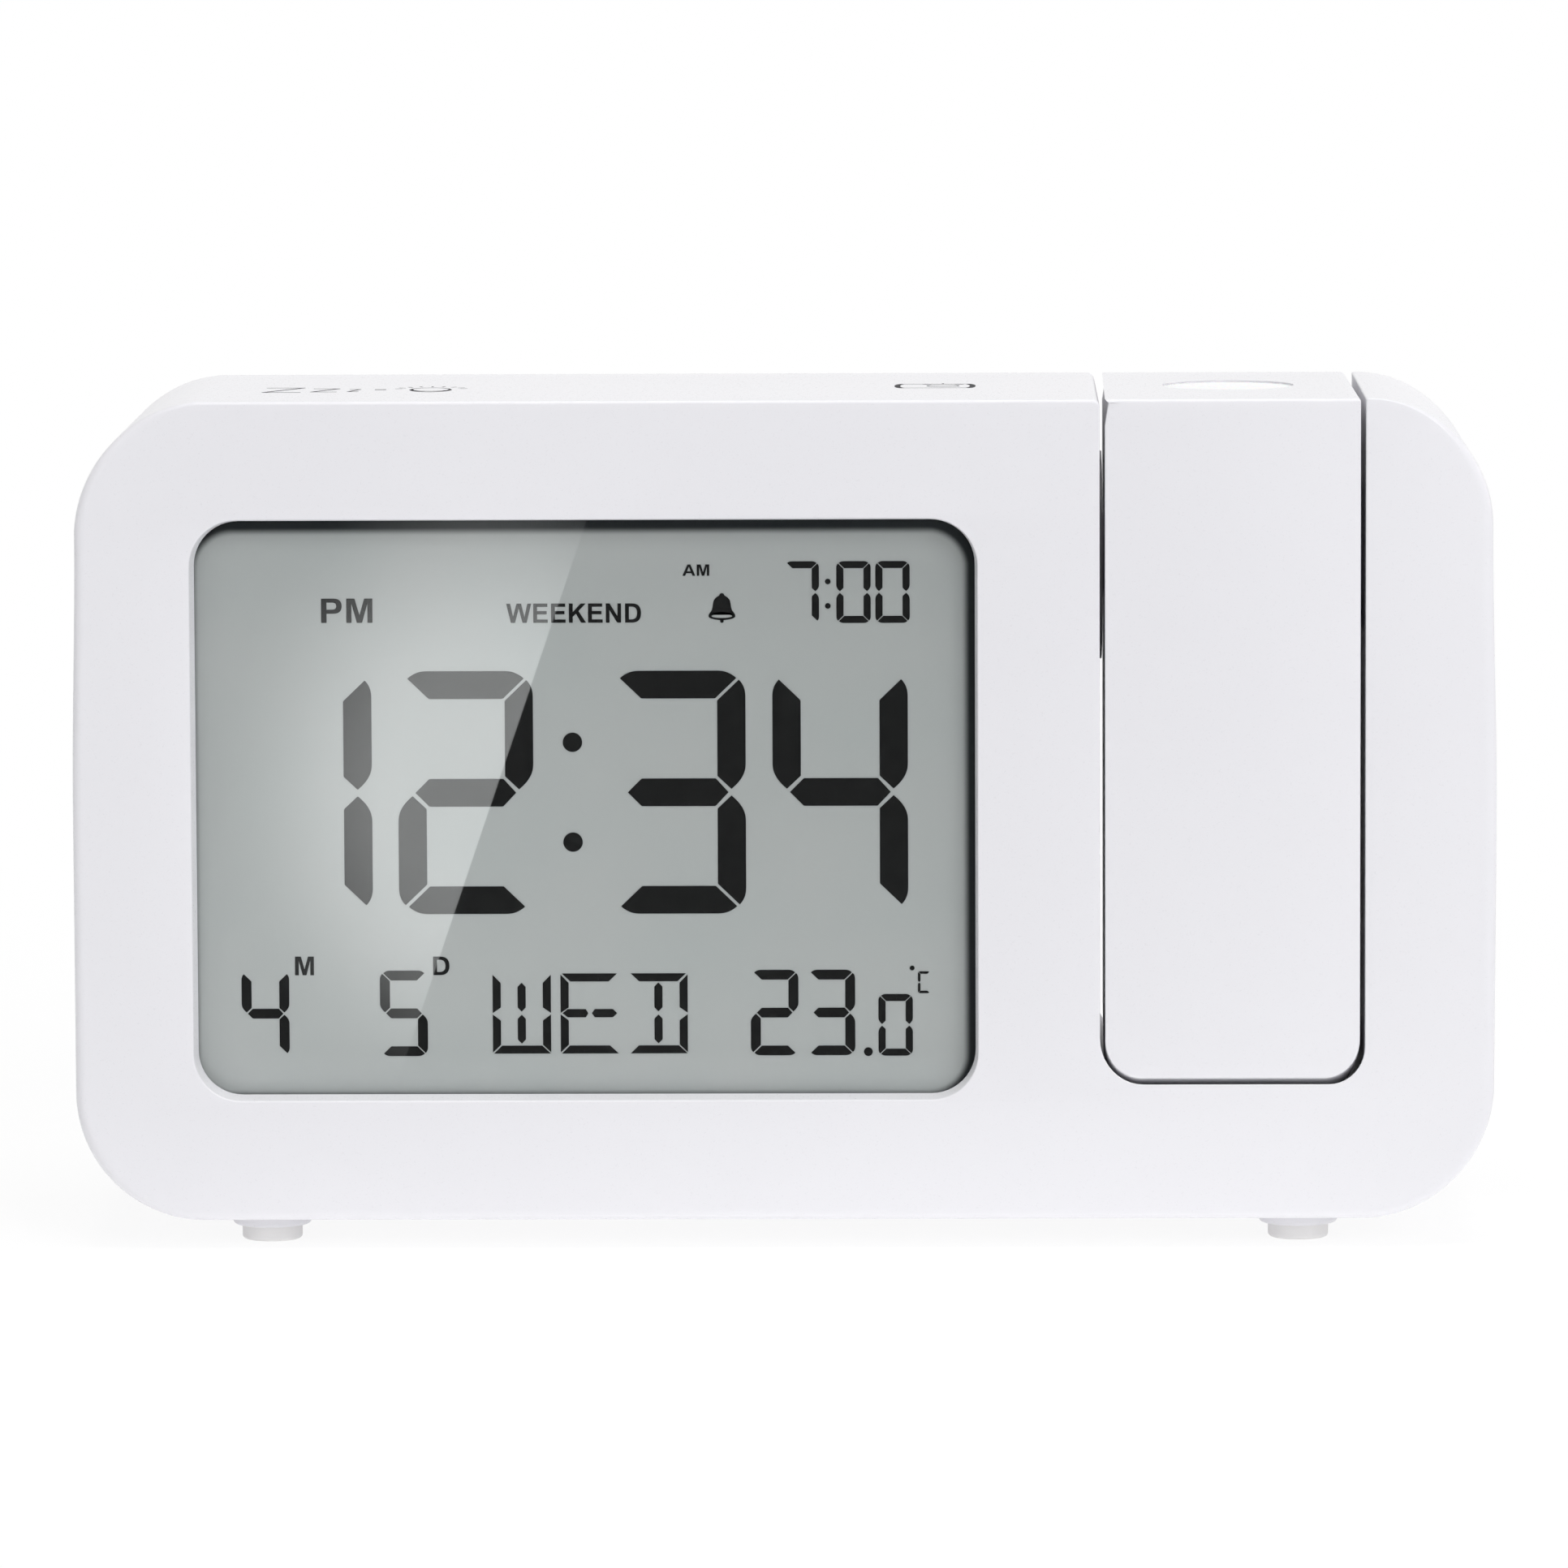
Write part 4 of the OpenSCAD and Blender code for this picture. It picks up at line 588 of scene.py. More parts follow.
# display opening: a small round edge, then a wall that narrows towards the clear sheet
def windowRings(s, frontWall):
    a = np.radians(np.linspace(0, 90, 7))
    grow = np.concatenate([s["soft"] * (1 - np.sin(a)), [-s["draft"]]]) + s["deepGrow"]
    depth = frontY + np.concatenate([s["soft"] * (1 - np.cos(a)), [frontWall]])
    (dx, dz), shares = s["deepShift"], [s["edgeShift"]] * len(a) + [1]
    return np.stack([roundedLoop(windowX + dx * share, windowZ + dz * share, s["w"] + 2 * g,
        s["h"] + 2 * g, s["r"] + g, y) for g, y, share in zip(grow, depth, shares)], 1)


# quarter of a round edge of size soft, down from (r, z) to (r - soft, z - soft)
def roundEdge(r, z, soft, steps):
    return [(r - soft + soft * math.cos(k), z - soft * math.sin(k))
        for k in np.radians(np.linspace(0, 90, steps))]


# a post with a screw bore, standing along Y from y0 to y1
def post(x, z, r, y0, y1, bore, boreLength, soft=0.15):
    bottom = y1 - boreLength
    return lathe([(0, y0), (r, y0), (r, y1 - soft), (r - soft, y1), (bore, y1), (bore, bottom), (0, bottom)],
        (x, 0, z), "y", 32)


# a foot boss: round lower edge, and a seat for the pad
def footBoss(x, y, s):
    return lathe([(0, s["bossTop"]), (s["bossR"], s["bossTop"])] + roundEdge(s["bossR"], 2.1, 0.5, 6)
        + [(s["seatR"], 1.6), (s["seatR"], s["seatTop"]), (0, s["seatTop"])], (x, y, 0))


def addSheets(piece, sheets):
    extra = makeMesh("extra", sheets)
    work = bmesh.new()
    work.from_mesh(piece.data)
    work.from_mesh(extra)
    work.to_mesh(piece.data)
    work.free()
    bpy.data.meshes.remove(extra)
    piece.data.set_sharp_from_angle(angle=sharpAngle)


# a rod along X on the pivot axis, to cut the round holes of the hinge
def pivotRod(r, x0, x1):
    return [lathe([(0, x0), (r, x0), (r, x1), (0, x1)], (0, midY, pivotZ), "x")]


caseLine = caseStations(caseLook)
caseLow = np.where(caseLine[0] >= caseLook["slotX1"] - 0.001, caseLook["slotX1"], -unbounded)
caseRings = crown(shellRings(caseLine, caseLook["softRear"], caseLow, unbounded, unbounded), caseLook)
caseHollow = hollowRings(caseLine, frontY + caseLook["frontWall"], 2)
displayHole = windowRings(windowLook, caseLook["frontWall"])
shell = makePiece("caseShell", shellSheets(caseRings, caseHollow, [displayHole]), "case",
    made["shell_plastic"], ["front_housing"], "shell_plastic")
carve(shell, [pivotRod(6.0, 30.5, 33.9), pivotRod(4.5, 60.4, 64.0)])
feet = {"x": (-54.8, 54.4), "y": (-12.1, 11.1), "bossR": 4.2, "bossTop": 3.35, "seatR": 3.25, "seatTop": 2.2,
    "padR": 3.2}
footPlaces = [(x, y) for x in feet["x"] for y in feet["y"]]
coverPosts = {"r": 2.9, "y0": -18.1, "y1": 15.5, "bore": 1.15, "boreLength": 10}
coverPlaces = [(-66.5, 81.4), (-66.5, 11.7), (27.34, 82.9), (27.34, 9.5), (66.8, 80.9), (66.8, 12.2)]
holderPosts = {"r": 2.2, "y0": -18.1, "y1": -13.2, "bore": 0.85, "boreLength": 4}
holderPlaces = [(x, z) for x in (-67.4, 25.2) for z in (28.65, 64.45)]
addSheets(shell, [post(x, z, **coverPosts) for x, z in coverPlaces]
    + [post(x, z, **holderPosts) for x, z in holderPlaces] + [footBoss(x, y, feet) for x, y in footPlaces])
print("case shell:", len(shell.data.polygons), "faces")

armLine = armStations(armLook)
armLow = np.full(armLine.shape[1], armLook["x0"])
armRings = drafted(shellRings(armLine, armLook["softRear"], armLow, armLook["x1"], topZ), armLook)
armHollow = hollowRings(armLine, frontY + armLook["frontWall"], 18)
arm = makePiece("armShell", shellSheets(armRings, armHollow), "arm", made["shell_plastic"], ["arm_shell"],
    "shell_plastic")
lensHole = [lathe([(0, 86.0), (7.0, 86.0), (7.0, 89.7), (7.03, 91.0), (0, 91.0)], (armX, midY, 0))]
carve(arm, [pivotRod(4.55, 33.0, 36.0), pivotRod(3.05, 58.5, 61.5), lensHole])
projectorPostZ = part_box("projector_housing")[0].z / mm + 4
armBore = {"bore": 0.85, "boreLength": 6}
armPosts = {9.7: {"z": 83.7, "r": 2.2, "y0": 9.7, "y1": 17.7}, 7.5: {"z": 27.5, "r": 2.2, "y0": -18.95,
    "y1": 17.7},
    9.9: {"z": projectorPostZ, "r": 1.9, "y0": -18.95, "y1": -5.3}}
addSheets(arm, [post(armX + dx, **look, **armBore) for apart, look in armPosts.items()
    for dx in (-apart, apart)])
print("arm shell:", len(arm.data.polygons), "faces")

# projection window: a shallow dome with a soft edge above its hidden flange
lensLook = {"r": 6.97, "flangeR": 7.95, "bottom": 87.5, "flangeTop": 88.28, "top": 89.88, "edge": 0.14,
    "dome": 0.1}
lensR, edge, edgeTop = lensLook["r"], lensLook["edge"], lensLook["top"] - lensLook["dome"]
lensProfile = ([(0, lensLook["bottom"]), (lensLook["flangeR"], lensLook["bottom"]),
    (lensLook["flangeR"], lensLook["flangeTop"]), (lensR, lensLook["flangeTop"])]
    + [(lensR - edge * (1 - math.cos(k)), edgeTop - edge * (1 - math.sin(k)))
        for k in np.radians(np.linspace(0, 90, 8))]
    + [(r, edgeTop + lensLook["dome"] * (1 - (r / lensR) ** 2))
        for r in np.linspace(1, 0, 12)[1:] * (lensR - edge)])
makePiece("lensDisc", [lathe(lensProfile, (armX, midY, 0), steps=96)], "arm", made["lens_window"],
    ["lens_cover"], "lens_window")

# foot pads: round lower edge and a shallow ring moulded in the sole
padProfile = ([(0, 2.15), (feet["padR"], 2.15)] + roundEdge(feet["padR"], 0.45, 0.45, 7)
    + [(2.3, 0.0), (2.2, 0.12), (1.9, 0.12), (1.8, 0.0), (0, 0.0)])
makePiece("footPads", [lathe(padProfile, (x, y, 0), steps=48) for x, y in footPlaces], "case",
    made["foot_rubber"], ["foot_pads"], "foot_rubber")
print("small mouldings made")


# display face: painted shadow darkens the pane inside the frame, deepest along the top and right, where the
# opening's edges would cast it
faceLook = {"left": 0.0, "right": 0.78, "top": 1.15, "bottom": 0.0, "r": 4.3, "fade": 0.68, "fadeOut": 0.238,
    "rings": 26, "reach": 2.6, "grow": 0.36, "minR": 0.8, "y": -16.70, "thick": 0.02}
# painted light on the display face: how strongly and how far from the left and lower edges it pales the face
paintedLightLook = {"slow": 0.09, "left": 0.42, "leftReach": 1.3, "low": 0.75, "lowReach": 3.2}


# signed distance from a rounded rectangle, negative inside:
# |max(q, 0)| + min(max(qx, qz), 0) - r, with q = |p| - half + r
def roundedDistance(x, z, cx, cz, w, h, r):
    qx, qz = np.abs(x - cx) - w / 2 + r, np.abs(z - cz) - h / 2 + r
    return np.hypot(np.maximum(qx, 0), np.maximum(qz, 0)) + np.minimum(np.maximum(qx, qz), 0) - r


# rings that narrow inward by the steps of grow, closed by a flat middle, an edge and a flat back
def displayFaceSheets(s, win):
    grow = np.linspace(s["grow"], -s["reach"], s["rings"])
    loops = [roundedLoop(windowX, windowZ, win["w"] + 2 * g, win["h"] + 2 * g, max(win["r"] + g, s["minR"]),
        s["y"])
        for g in grow]
    rings = np.stack(loops, 1)
    back = rings[:, 0] + [0, s["thick"], 0]
    sheets = [(rings, gridFaces(len(rings), len(grow), closeRows=True), True),
        (np.stack([back, rings[:, 0]], 1), gridFaces(len(rings), 2, closeRows=True), False)]
    return sheets + [(*flatFill(rings[:, -1]), True), (*flatFill(back), False)]


displayFace = makePiece("displayFace", displayFaceSheets(faceLook, windowLook), "case", made["lcd_glass"],
    slot="lcd_glass", weld=0.0002)
co = np.zeros(len(displayFace.data.vertices) * 3)
displayFace.data.vertices.foreach_get("co", co)
faceX, faceZ = co[0::3] / mm, co[2::3] / mm
# painted shadow: dark outside a lit rounded rectangle, set in from the frame by faceLook's left, right, top
# and bottom, fading over fade and fadeOut
litX = windowX + (faceLook["left"] - faceLook["right"]) / 2
litZ = windowZ + (faceLook["bottom"] - faceLook["top"]) / 2
distance = roundedDistance(faceX, faceZ, litX, litZ, windowLook["w"] - faceLook["left"] - faceLook["right"],
    windowLook["h"] - faceLook["top"] - faceLook["bottom"], faceLook["r"])
paintedShadow = smoothStep(-faceLook["fade"], faceLook["fadeOut"], distance)

# painted light: a slow rise towards the left, and e^(-d / reach) from the left and lower edges where the
# frame keeps light off, make the face paler there to even out the real shade
fromLeft = faceX - (windowX - windowLook["w"] / 2)
fromLow = faceZ - (windowZ - windowLook["h"] / 2)
paintedLight = (paintedLightLook["slow"] * (1 - fromLeft / windowLook["w"])
    + paintedLightLook["left"] * np.exp(-np.maximum(fromLeft, 0) / paintedLightLook["leftReach"])
    + paintedLightLook["low"] * np.exp(-np.maximum(fromLow, 0) / paintedLightLook["lowReach"]))
for key, values in (("paintedShadow", paintedShadow), ("lift", np.clip(paintedLight, 0, 1))):
    tone = displayFace.data.attributes.new(key, "FLOAT", "POINT")
    tone.data.foreach_set("value", values.astype(np.float32))


# quadratic curve through a corner: (1 - t)^2 a + 2t(1 - t) b + t^2 c
def bend(a, b, c, n=7):
    t = np.linspace(0, 1, n)[:, None]
    return ((1 - t) ** 2 * np.array(a) + 2 * t * (1 - t) * np.array(b) + t ** 2 * np.array(c)).tolist()


# a seven-bar digit in a box 165 wide and 298 high, Y down; two bars are drawn and the rest are their mirror
# images
digitBox = {"w": 165, "h": 298}
barTop = bend((12, 9), (22, 0), (34, 0)) + bend((132, 0), (144, 0), (154, 9)) + [[128, 34], [38, 34]]
barSide = bend((157, 11), (165, 19), (165, 31)) + bend((165, 115), (165, 131), (147.5, 145)) + [[130.5, 129],
    [130.5, 36.5]]
barMiddle = [[21, 149], [38, 132], [128.5, 132], [144, 149], [128, 166], [38, 166]]
flip = lambda points, fx, fy: np.array([[digitBox["w"] - x if fx else x, digitBox["h"] - y if fy else y]
    for x, y in points])
bars = {"a": flip(barTop, 0, 0), "b": flip(barSide, 0, 0), "c": flip(barSide, 0, 1), "d": flip(barTop, 0, 1),
    "e": flip(barSide, 1, 1), "f": flip(barSide, 1, 0), "g": np.array(barMiddle, float)}
digitBars = {"0": "abcdef", "1": "bc", "2": "abged", "3": "abgcd", "4": "fgbc", "5": "afgcd", "7": "abc",
    "C": "afed"}

# letter bars in a box 215 wide and 290 high
letterBox = {"w": 215, "h": 290}
middleBar = [[107, 33], [122, 48], [122, 123], [107, 138], [92, 123], [92, 48]]
letterBars = {
    "leftUp": [[0, 4], [30, 34], [30, 123], [0, 143]], "leftLow": [[0, 148], [30, 170], [30, 258], [0, 286]],
    "top": [[5, 0], [209, 0], [178, 29], [36, 29]], "bottom": [[4, 290], [214, 290], [182, 261], [34, 261]],
    "midUp": middleBar, "midLow": [[x, y + 116] for x, y in middleBar],
    "g1": [[7, 144], [26, 129], [93, 129], [102, 144], [93, 159], [26, 159]],
    "g2": [[115, 144], [126, 129], [193, 129], [209, 144], [193, 159], [126, 159]]}
for part in ("Up", "Low"):
    letterBars["right" + part] = [[letterBox["w"] - x, y] for x, y in letterBars["left" + part]]
letterUses = {"W": ["leftUp", "leftLow", "rightUp", "rightLow", "bottom", "midUp", "midLow"],
    "E": ["leftUp", "leftLow", "top", "bottom", "g1", "g2"],
    "D": ["rightUp", "rightLow", "top", "bottom", "midUp", "midLow"]}

inkLook = {"y": -16.74, "thick": 0.035}


# template points to loops on the display: (left + x sx, top - y sz)
def placed(points, left, top, sx, sz):
    points = np.array(points, float)
    return np.stack([windowX + left + points[:, 0] * sx, np.full(len(points), inkLook["y"]),
        windowZ + top - points[:, 1] * sz], -1)


def digitLoops(sign, right, top, height):
    s = height / digitBox["h"]
    return [[placed(bars[k], right - digitBox["w"] * s, top, s, s)] for k in digitBars[sign]]


def letterLoops(sign, left, top, width, height):
    return [[placed(letterBars[k], left, top, width / letterBox["w"], height / letterBox["h"])]
        for k in letterUses[sign]]


def ovalLoop(u, w, ru, rw, n=40):
    a = np.linspace(0, 2 * np.pi, n, endpoint=False)
    return placed(np.stack([ru * np.cos(a), rw * np.sin(a)], -1), u, w, 1, 1)


def inkPiece(name, groups):
    sheets = [sheet for loops in groups for sheet in plateSheets(loops, inkLook["thick"])]
    return makePiece(name, sheets, "case", made["segmentInk"], slot="lcd_glass", weld=0.0001)


# a line of digits that share top and height, each given by its right edge
def digitRow(signs, rights, top, height):
    return [loops for sign, right in zip(signs, rights) for loops in digitLoops(sign, right, top, height)]


inkPiece("timeDigits", digitRow("1234", (-22.46, -5.40, 17.03, 34.15), 14.5, 25.8)
    + [[ovalLoop(-1.25, w, 1.03, 1.03)] for w in (6.94, -3.67)])
inkPiece("alarmDigits", digitRow("700", (24.83, 30.28, 34.39), 26.05, 6.54)
    + [[ovalLoop(25.76, w, 0.3, 0.3, 20)] for w in (23.9, 21.32)])
inkPiece("dateDigits", digitRow("4523", (-31.41, -16.75, 22.5, 28.5), -17.32, 9.12)
    + digitLoops("0", 34.6, -19.92, 6.58) + digitLoops("C", 36.43, -17.51, 2.33)
    + [[ovalLoop(29.88, -26.07, 0.47, 0.47, 24)], [ovalLoop(34.54, -17.15, 0.26, 0.26, 16)]])
inkPiece("weekdayLetters", [g for sign, left in (("W", -9.87), ("E", -2.68), ("D", 4.61))
    for g in letterLoops(sign, left, -17.66, 6.17, 8.54)])


# right side of a round letter, out from (x0, y0) to x1 and back to (x0, y1)
def bowl(x0, x1, y0, y1):
    middle = (x1, (y0 + y1) / 2)
    return bend((x0, y0), (x1, y0), middle, 9) + bend(middle, (x1, y1), (x0, y1), 9)


# plain capital letters, one high with Y up: outer loop and hole, then the step to the next letter, left and
# right edge
glyphs = {
    "A": ([[[0, 0], [.388, 1], [.612, 1], [1, 0], [.785, 0], [.70, .227], [.30, .227], [.218, 0]],
        [[.36, .395], [.64, .395], [.50, .78]]], 1.008, 0.0, 1.0),
    "M": ([[[0, 0], [0, 1], [.302, 1], [.483, .318], [.662, 1], [.965, 1], [.965, 0], [.778, 0], [.778, .787],
        [.58, 0], [.386, 0], [.188, .787], [.188, 0]]], 1.163, 0.102, 0.965),
    "P": ([[[0, 0], [0, 1], *bowl(.45, .763, 1, .377), [.202, .377], [.202, 0]],
        [[.202, .835], *bowl(.40, .56, .835, .545), [.202, .545]]], 0.932, 0.102, 0.763),
    "W": ([[[0, 1], [.207, 1], [.357, .313], [.54, 1], [.78, 1], [.955, .301], [1.108, 1], [1.312, 1],
        [1.067, 0], [.852, 0], [.655, .747], [.46, 0], [.24, 0]]], 1.318, 0.004, 1.312),
    "E": ([[[0, 0], [0, 1], [.742, 1], [.742, .831], [.202, .831], [.202, .61], [.704, .61], [.704, .441],
        [.202, .441], [.202, .169], [.761, .169], [.761, 0]]], 0.932, 0.102, 0.761),
    "K": ([[[0, 0], [0, 1], [.202, 1], [.202, .556], [.61, 1], [.881, 1], [.504, .61], [.902, 0], [.641, 0],
        [.365, .47], [.202, .303], [.202, 0]]], 1.008, 0.105, 0.902),
    "N": ([[[0, 0], [0, 1], [.197, 1], [.606, .332], [.606, 1], [.794, 1], [.794, 0], [.591, 0], [.188, .652],
        [.188, 0]]], 1.008, 0.103, 0.794),
    "D": ([[[0, 0], [0, 1], *bowl(.37, .838, 1, 0)], [[.202, .831], *bowl(.33, .632, .831, .169),
        [.202, .169]]],
        1.008, 0.1, 0.838)}


# letters set side by side and stretched to run from u0 to u1 between heights w0 and w1
def wordLoops(word, u0, u1, w0, w1):
    starts = np.cumsum([0] + [glyphs[c][1] for c in word[:-1]]) + [glyphs[c][2] for c in word]
    total = starts[-1] + glyphs[word[-1]][3] - starts[0]
    sx, sz = (u1 - u0) / total, w1 - w0
    return [[placed(np.array(loop) * [1, -1], u0 + (start - starts[0]) * sx, w0, sx, sz)
        for loop in glyphs[c][0]]
        for c, start in zip(word, starts)]


inkPiece("displayWords", wordLoops("AM", 10.45, 13.28, 24.54, 25.74)
    + wordLoops("PM", -27.68, -22.26, 19.66, 22.23)
    + wordLoops("WEEKEND", -8.15, 6.07, 19.61, 21.64) + wordLoops("M", -30.77, -28.77, -17.79, -15.8)
    + wordLoops("D", -16.15, -14.42, -17.8, -15.83))

bellHalf = [(0, 3.17), (.2, 3.1), (.28, 2.9), (.55, 2.75), (.72, 2.58), (.85, 2.4), (.92, 2.15), (.95, 1.9),
    (1.0, 1.6), (1.07, 1.35), (1.25, 1.1), (1.42, .85)]
bellOutline = bellHalf + [(-x, y) for x, y in bellHalf[:0:-1]]
inkPiece("alarmBell", [[placed(np.array(bellOutline) * [1, -1], 14.59, 19.55, 1, 1)],
    [ovalLoop(14.59, 20.27, 1.42, 0.42), ovalLoop(14.59, 20.27, 1.08, 0.2)],
    [ovalLoop(14.59, 19.75, 0.2, 0.2, 16)]])
print("display marks made")


# a line of even width and thickness along a path in the plane: at each point the two sides stand off along
# the mean of the neighbouring normals, lengthened by 1 / cos of half the turn
def strokeSheets(path, width, closed):
    path = np.array(path, float)
    before = path - np.roll(path, 1, 0)
    after = np.roll(path, -1, 0) - path
    if not closed:
        before[0], after[-1] = after[0], before[-1]
    unit = lambda v: v / np.linalg.norm(v, axis=1, keepdims=True)
    n0, n1 = unit(before)[:, ::-1] * [-1, 1], unit(after)[:, ::-1] * [-1, 1]
    mean = unit(n0 + n1)
    off = mean / np.maximum((mean * n0).sum(1, keepdims=True), 0.35) * width / 2
    corner = lambda side, z: np.column_stack([path + side * off, np.full(len(path), z)])
    low, high = printLook["z0"], printLook["z1"]
    ring = np.stack([corner(1, high), corner(-1, high), corner(-1, low), corner(1, low)], 1)
    sheets = [(ring, gridFaces(len(path), 4, closeRows=closed, closeCols=True), False)]
    if not closed:
        sheets += [(ring[0], [[0, 1, 2, 3]], False), (ring[-1], [[3, 2, 1, 0]], False)]
    return sheets


# (cx + rx cos a, cy + ry sin a) for a from a0 to a1
def arcPath(cx, cy, rx, ry, a0, a1, n=24):
    a = np.radians(np.linspace(a0, a1, n))
    return np.stack([cx + rx * np.cos(a), cy + ry * np.sin(a)], -1)


printLook = {"z0": 89.87, "z1": 89.9, "line": 0.3, "fine": 0.22}


# each stroke is (path, width, closed)
def printPiece(name, strokes):
    sheets = [sheet for stroke in strokes for sheet in strokeSheets(*stroke)]
    return makePiece(name, sheets, "case", made["printInk"], slot="shell_plastic", weld=0.0001)


def sleepLetter(x0, y0, x1, y1, width):
    return [([(x0 + 0.1, y1), (x1, y1)], width, False), ([(x1 - 0.1, y1), (x0 + 0.1, y0)], width * 1.5,
        False),
        ([(x0, y0), (x1 - 0.1, y0)], width, False)]


def rayMarks(cx, cy, rx, ry, angles, length, width):
    found = []
    for a in np.radians(angles):
        inner = np.array([cx + rx * math.cos(a), cy + ry * math.sin(a)])
        found.append(([inner, inner + np.array([math.cos(a), math.sin(a)]) * length], width, False))
    return found


fine, line = printLook["fine"], printLook["line"]
printPiece("sleepMark", sleepLetter(-55.4, -7.3, -51.2, -0.9, line)
    + sleepLetter(-50.3, -6.9, -47.4, -2.2, line * 0.9)
    + sleepLetter(-46.4, -6.6, -45.1, -3.2, fine) + [([(-43.6, -3.7), (-42.4, -3.7)], 0.7, False)])
printPiece("lampMark", [(arcPath(-37.65, -3.6, 2.05, 2.4, 0, 360, 48)[:-1], fine, True),
    (arcPath(-37.65, -3.75, 2.05, 3.4, 180, 360, 32), line * 1.5, False)]
    + rayMarks(-37.65, -2.6, 3.1, 2.6, (178, 155, 132, 110, 90, 70, 48, 25, 2), 0.75, fine))
printPiece("glowMark", [([(12.4, -3.5), (19.6, -3.5)], fine, False),
    ([(12.4, 2.1), (19.6, 2.1)], fine, False), (arcPath(12.6, -0.7, 0.62, 2.8, 90, 270), 0.62, False),
    (arcPath(19.4, -0.7, 0.62, 2.8, -90, 90), 0.62, False),
    (arcPath(16.85, -0.6, 1.65, 1.3, 0, 360, 36)[:-1], fine, True)]
    + rayMarks(16.85, 0.6, 1.5, 1.5, (150, 90, 30), 1.0, fine))
print("top marks made")


def lookAt(obj, target, roll=0.0):
    direction = (Vector(target) - obj.location).to_track_quat("-Z", "Y")
    obj.rotation_euler = (direction.to_matrix() @ Matrix.Rotation(roll, 3, "Z")).to_euler()


cameraLook = {"place": (0.0166, -1.1205, 0.1708), "target": (0.00002, -0.0205, 0.04942), "lens": 241.55,
    "sensor": 36.0, "clip": (0.05, 50.0), "roll": -0.0041}
cameraData = bpy.data.cameras.new("studioCamera")
cameraData.lens, cameraData.sensor_width = cameraLook["lens"], cameraLook["sensor"]
cameraData.clip_start, cameraData.clip_end = cameraLook["clip"]
camera = addObject("studioCamera", cameraData)
camera.location = cameraLook["place"]
lookAt(camera, cameraLook["target"], cameraLook["roll"])
bpy.context.scene.camera = camera

lampLooks = {"overhead": {"place": (0.08, -0.28, 1.45), "size": (0.7, 0.7), "power": 8.3,
    "colour": (1.0, 0.995, 0.965)},
    "front": {"place": (0.90, -1.9, 1.2), "size": (1.0, 1.0), "power": 15.0, "colour": (0.97, 0.975, 1.0)},
    "right": {"place": (1.25, 0.20, 0.30), "size": (0.34, 0.9), "power": 1.8, "colour": (1, 1, 1)}}
lampTarget = (0, 0, 0.05)
for name, look in lampLooks.items():
    data = bpy.data.lights.new(name + "Lamp", "AREA")
    data.shape, data.size, data.size_y, data.energy = "RECTANGLE", *look["size"], look["power"]
    data.color = look["colour"]
    lamp = addObject(name + "Lamp", data)
    lamp.location = look["place"]
    lookAt(lamp, lampTarget)
    lamp.visible_camera = False


def glow(tree, strength, colour=(1, 1, 1), kind="Emission"):
    return addNode(tree, kind, {"Color": colour, "Strength": strength})


# plain white for the eye, in glass and in mirrors; the light it gives is dimmer from the two sides, by
# sideDim where the direction's X part nears 1
def roomLight(tree, look):
    rays = addNode(tree, "LightPath").outputs
    seen = maths(tree, "MAXIMUM", rays["Is Camera Ray"], rays["Is Transmission Ray"])
    heading = addNode(tree, "SeparateXYZ", {0: addNode(tree, "TexCoord").outputs["Generated"]})
    sideways = maths(tree, "ABSOLUTE", heading.outputs["X"])
    strength = ranged(tree, sideways, look["power"], look["power"] * (1 - look["sideDim"]), *look["sideFrom"])
    return mixShaders(tree, maths(tree, "MAXIMUM", seen, rays["Is Glossy Ray"]),
        glow(tree, strength, look["colour"], "Background"), glow(tree, 1.0, kind="Background"))


bpy.context.scene.world = shaded(bpy.data.worlds.new("whiteStudio"), roomLight, {
    "power": 0.52, "sideDim": 0.5, "sideFrom": (0.45, 0.95), "colour": (0.98, 0.985, 1.0)}, "OutputWorld")


# a flat piece with four corners, given in millimetres
def makePlane(name, corners, material):
    sheet = (np.array(corners, float), [[0, 1, 2, 3]], False)
    plane = addObject(name, makeMesh(name, [sheet], solid=False))
    plane.data.materials.append(material)
    return plane


# floor: for the eye a faint shadow near the object, fading to plain white from near to far; for all other
# rays a table that glows a little more beside the object, by a distance whose X part is drawn in
def floorFinish(tree, look):
    spot = ownSpot(tree)
    matt = lambda albedo: addNode(tree, "BsdfDiffuse", {"Color": (albedo,) * 3})
    both = lambda a, b: addNode(tree, "AddShader", {0: a, 1: b})
    away = vectorMaths(tree, "LENGTH", spot).outputs["Value"]
    far = ranged(tree, away, 0, 1, *look["fade"], "SMOOTHSTEP")
    seen = mixShaders(tree, far, both(matt(look["seen"]), glow(tree, look["lift"])), glow(tree, 1.0))
    beside = vectorMaths(tree, "LENGTH", vectorMaths(tree, "MULTIPLY", spot,
        look["drawnIn"])).outputs["Value"]
    near = ranged(tree, beside, look["table"] + look["nearGlow"], look["table"], *look["glowReach"],
        "SMOOTHSTEP")
    table = both(matt(look["albedo"]), glow(tree, near))
    return mixShaders(tree, addNode(tree, "LightPath").outputs["Is Camera Ray"], table, seen)


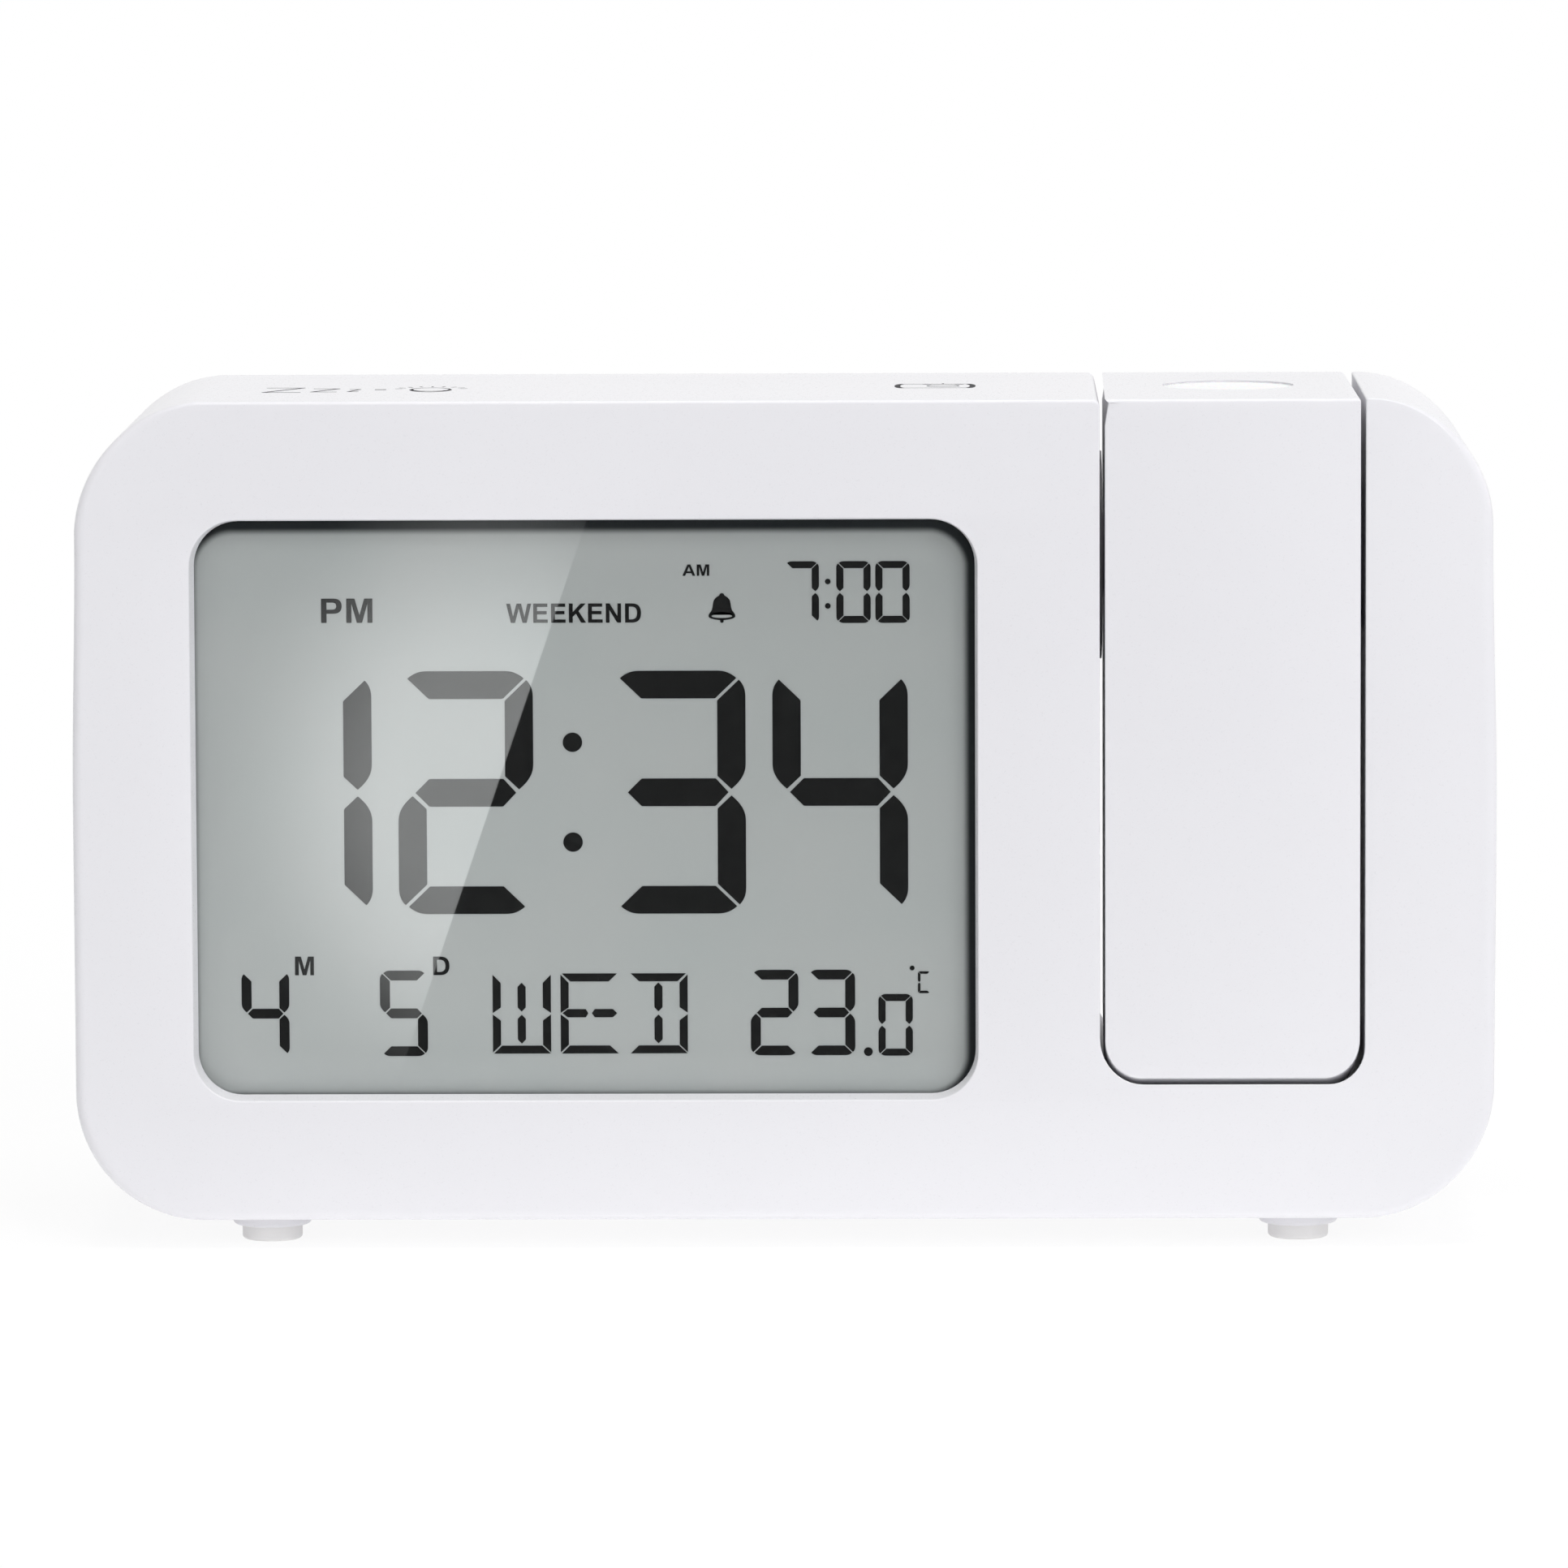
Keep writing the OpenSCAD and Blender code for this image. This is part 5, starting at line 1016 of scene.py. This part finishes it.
floorWhite = makeMaterial("floorWhite", floorFinish, {
    "albedo": 0.86, "table": 0.18, "nearGlow": 0.15, "glowReach": (0.025, 0.06), "drawnIn": (0.4, 1, 1),
    "seen": 0.14, "lift": 0.872, "fade": (0.13, 0.34)})
floor = makePlane("studioFloor", [[-3000, -3000, 0], [3000, -3000, 0], [3000, 3000, 0], [-3000, 3000, 0]],
    floorWhite)
floor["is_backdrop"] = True


# softbox seen only as a reflection: bright inside an oval that a slanting edge cuts off, black round it, and
# clear further out
def cardFinish(tree, look):
    spot = ownSpot(tree)
    flat = lambda x, z, y=0: (x, y, z)

    def ovalReach(centre, radii):
        moved = vectorMaths(tree, "SUBTRACT", spot, flat(*centre))
        return vectorMaths(tree, "LENGTH", vectorMaths(tree, "DIVIDE", moved,
            flat(*radii, 1000))).outputs["Value"]

    oval = ranged(tree, ovalReach(look["centre"], look["radii"]), 1, 0, look["full"], 1, "SMOOTHSTEP")
    fromEdge = vectorMaths(tree, "SUBTRACT", spot, flat(*look["edge"]))
    side = vectorMaths(tree, "DOT_PRODUCT", fromEdge, flat(*look["edgeNormal"])).outputs["Value"]
    cut = ranged(tree, side, 1, 0, -look["blur"], look["blur"], "SMOOTHSTEP")
    power = maths(tree, "MULTIPLY", maths(tree, "MULTIPLY", oval, cut), look["power"])
    far = ranged(tree, ovalReach(look["dark"], (1, 1)), 0, 1, *look["darkReach"], "SMOOTHSTEP")
    return mixShaders(tree, far, glow(tree, power, look["colour"]), addNode(tree, "BsdfTransparent"))


reflectedCard = makeMaterial("reflectedCard", cardFinish, {
    "centre": (-0.03497, 0.03967), "radii": (0.0317, 0.038), "full": 0.31, "power": 1.86,
    "edge": (-0.02482, 0.06609), "edgeNormal": (0.946, -0.324), "blur": 0.00012, "dark": (-0.021, 0.046),
    "darkReach": (0.062, 0.1), "colour": (0.98, 1.0, 0.995)})
cardY = -100
card = makePlane("reflectedCard", [[-130, cardY, 1], [90, cardY, 1], [90, cardY, 150], [-130, cardY, 150]],
    reflectedCard)
card.visible_camera = card.visible_diffuse = card.visible_shadow = False
card.visible_volume_scatter = card.visible_transmission = False
card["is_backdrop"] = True

bpy.context.scene.view_settings.view_transform = "Standard"
print("stage ready")

{"cad": cadBox, "visual": [list(corner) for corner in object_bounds()]}
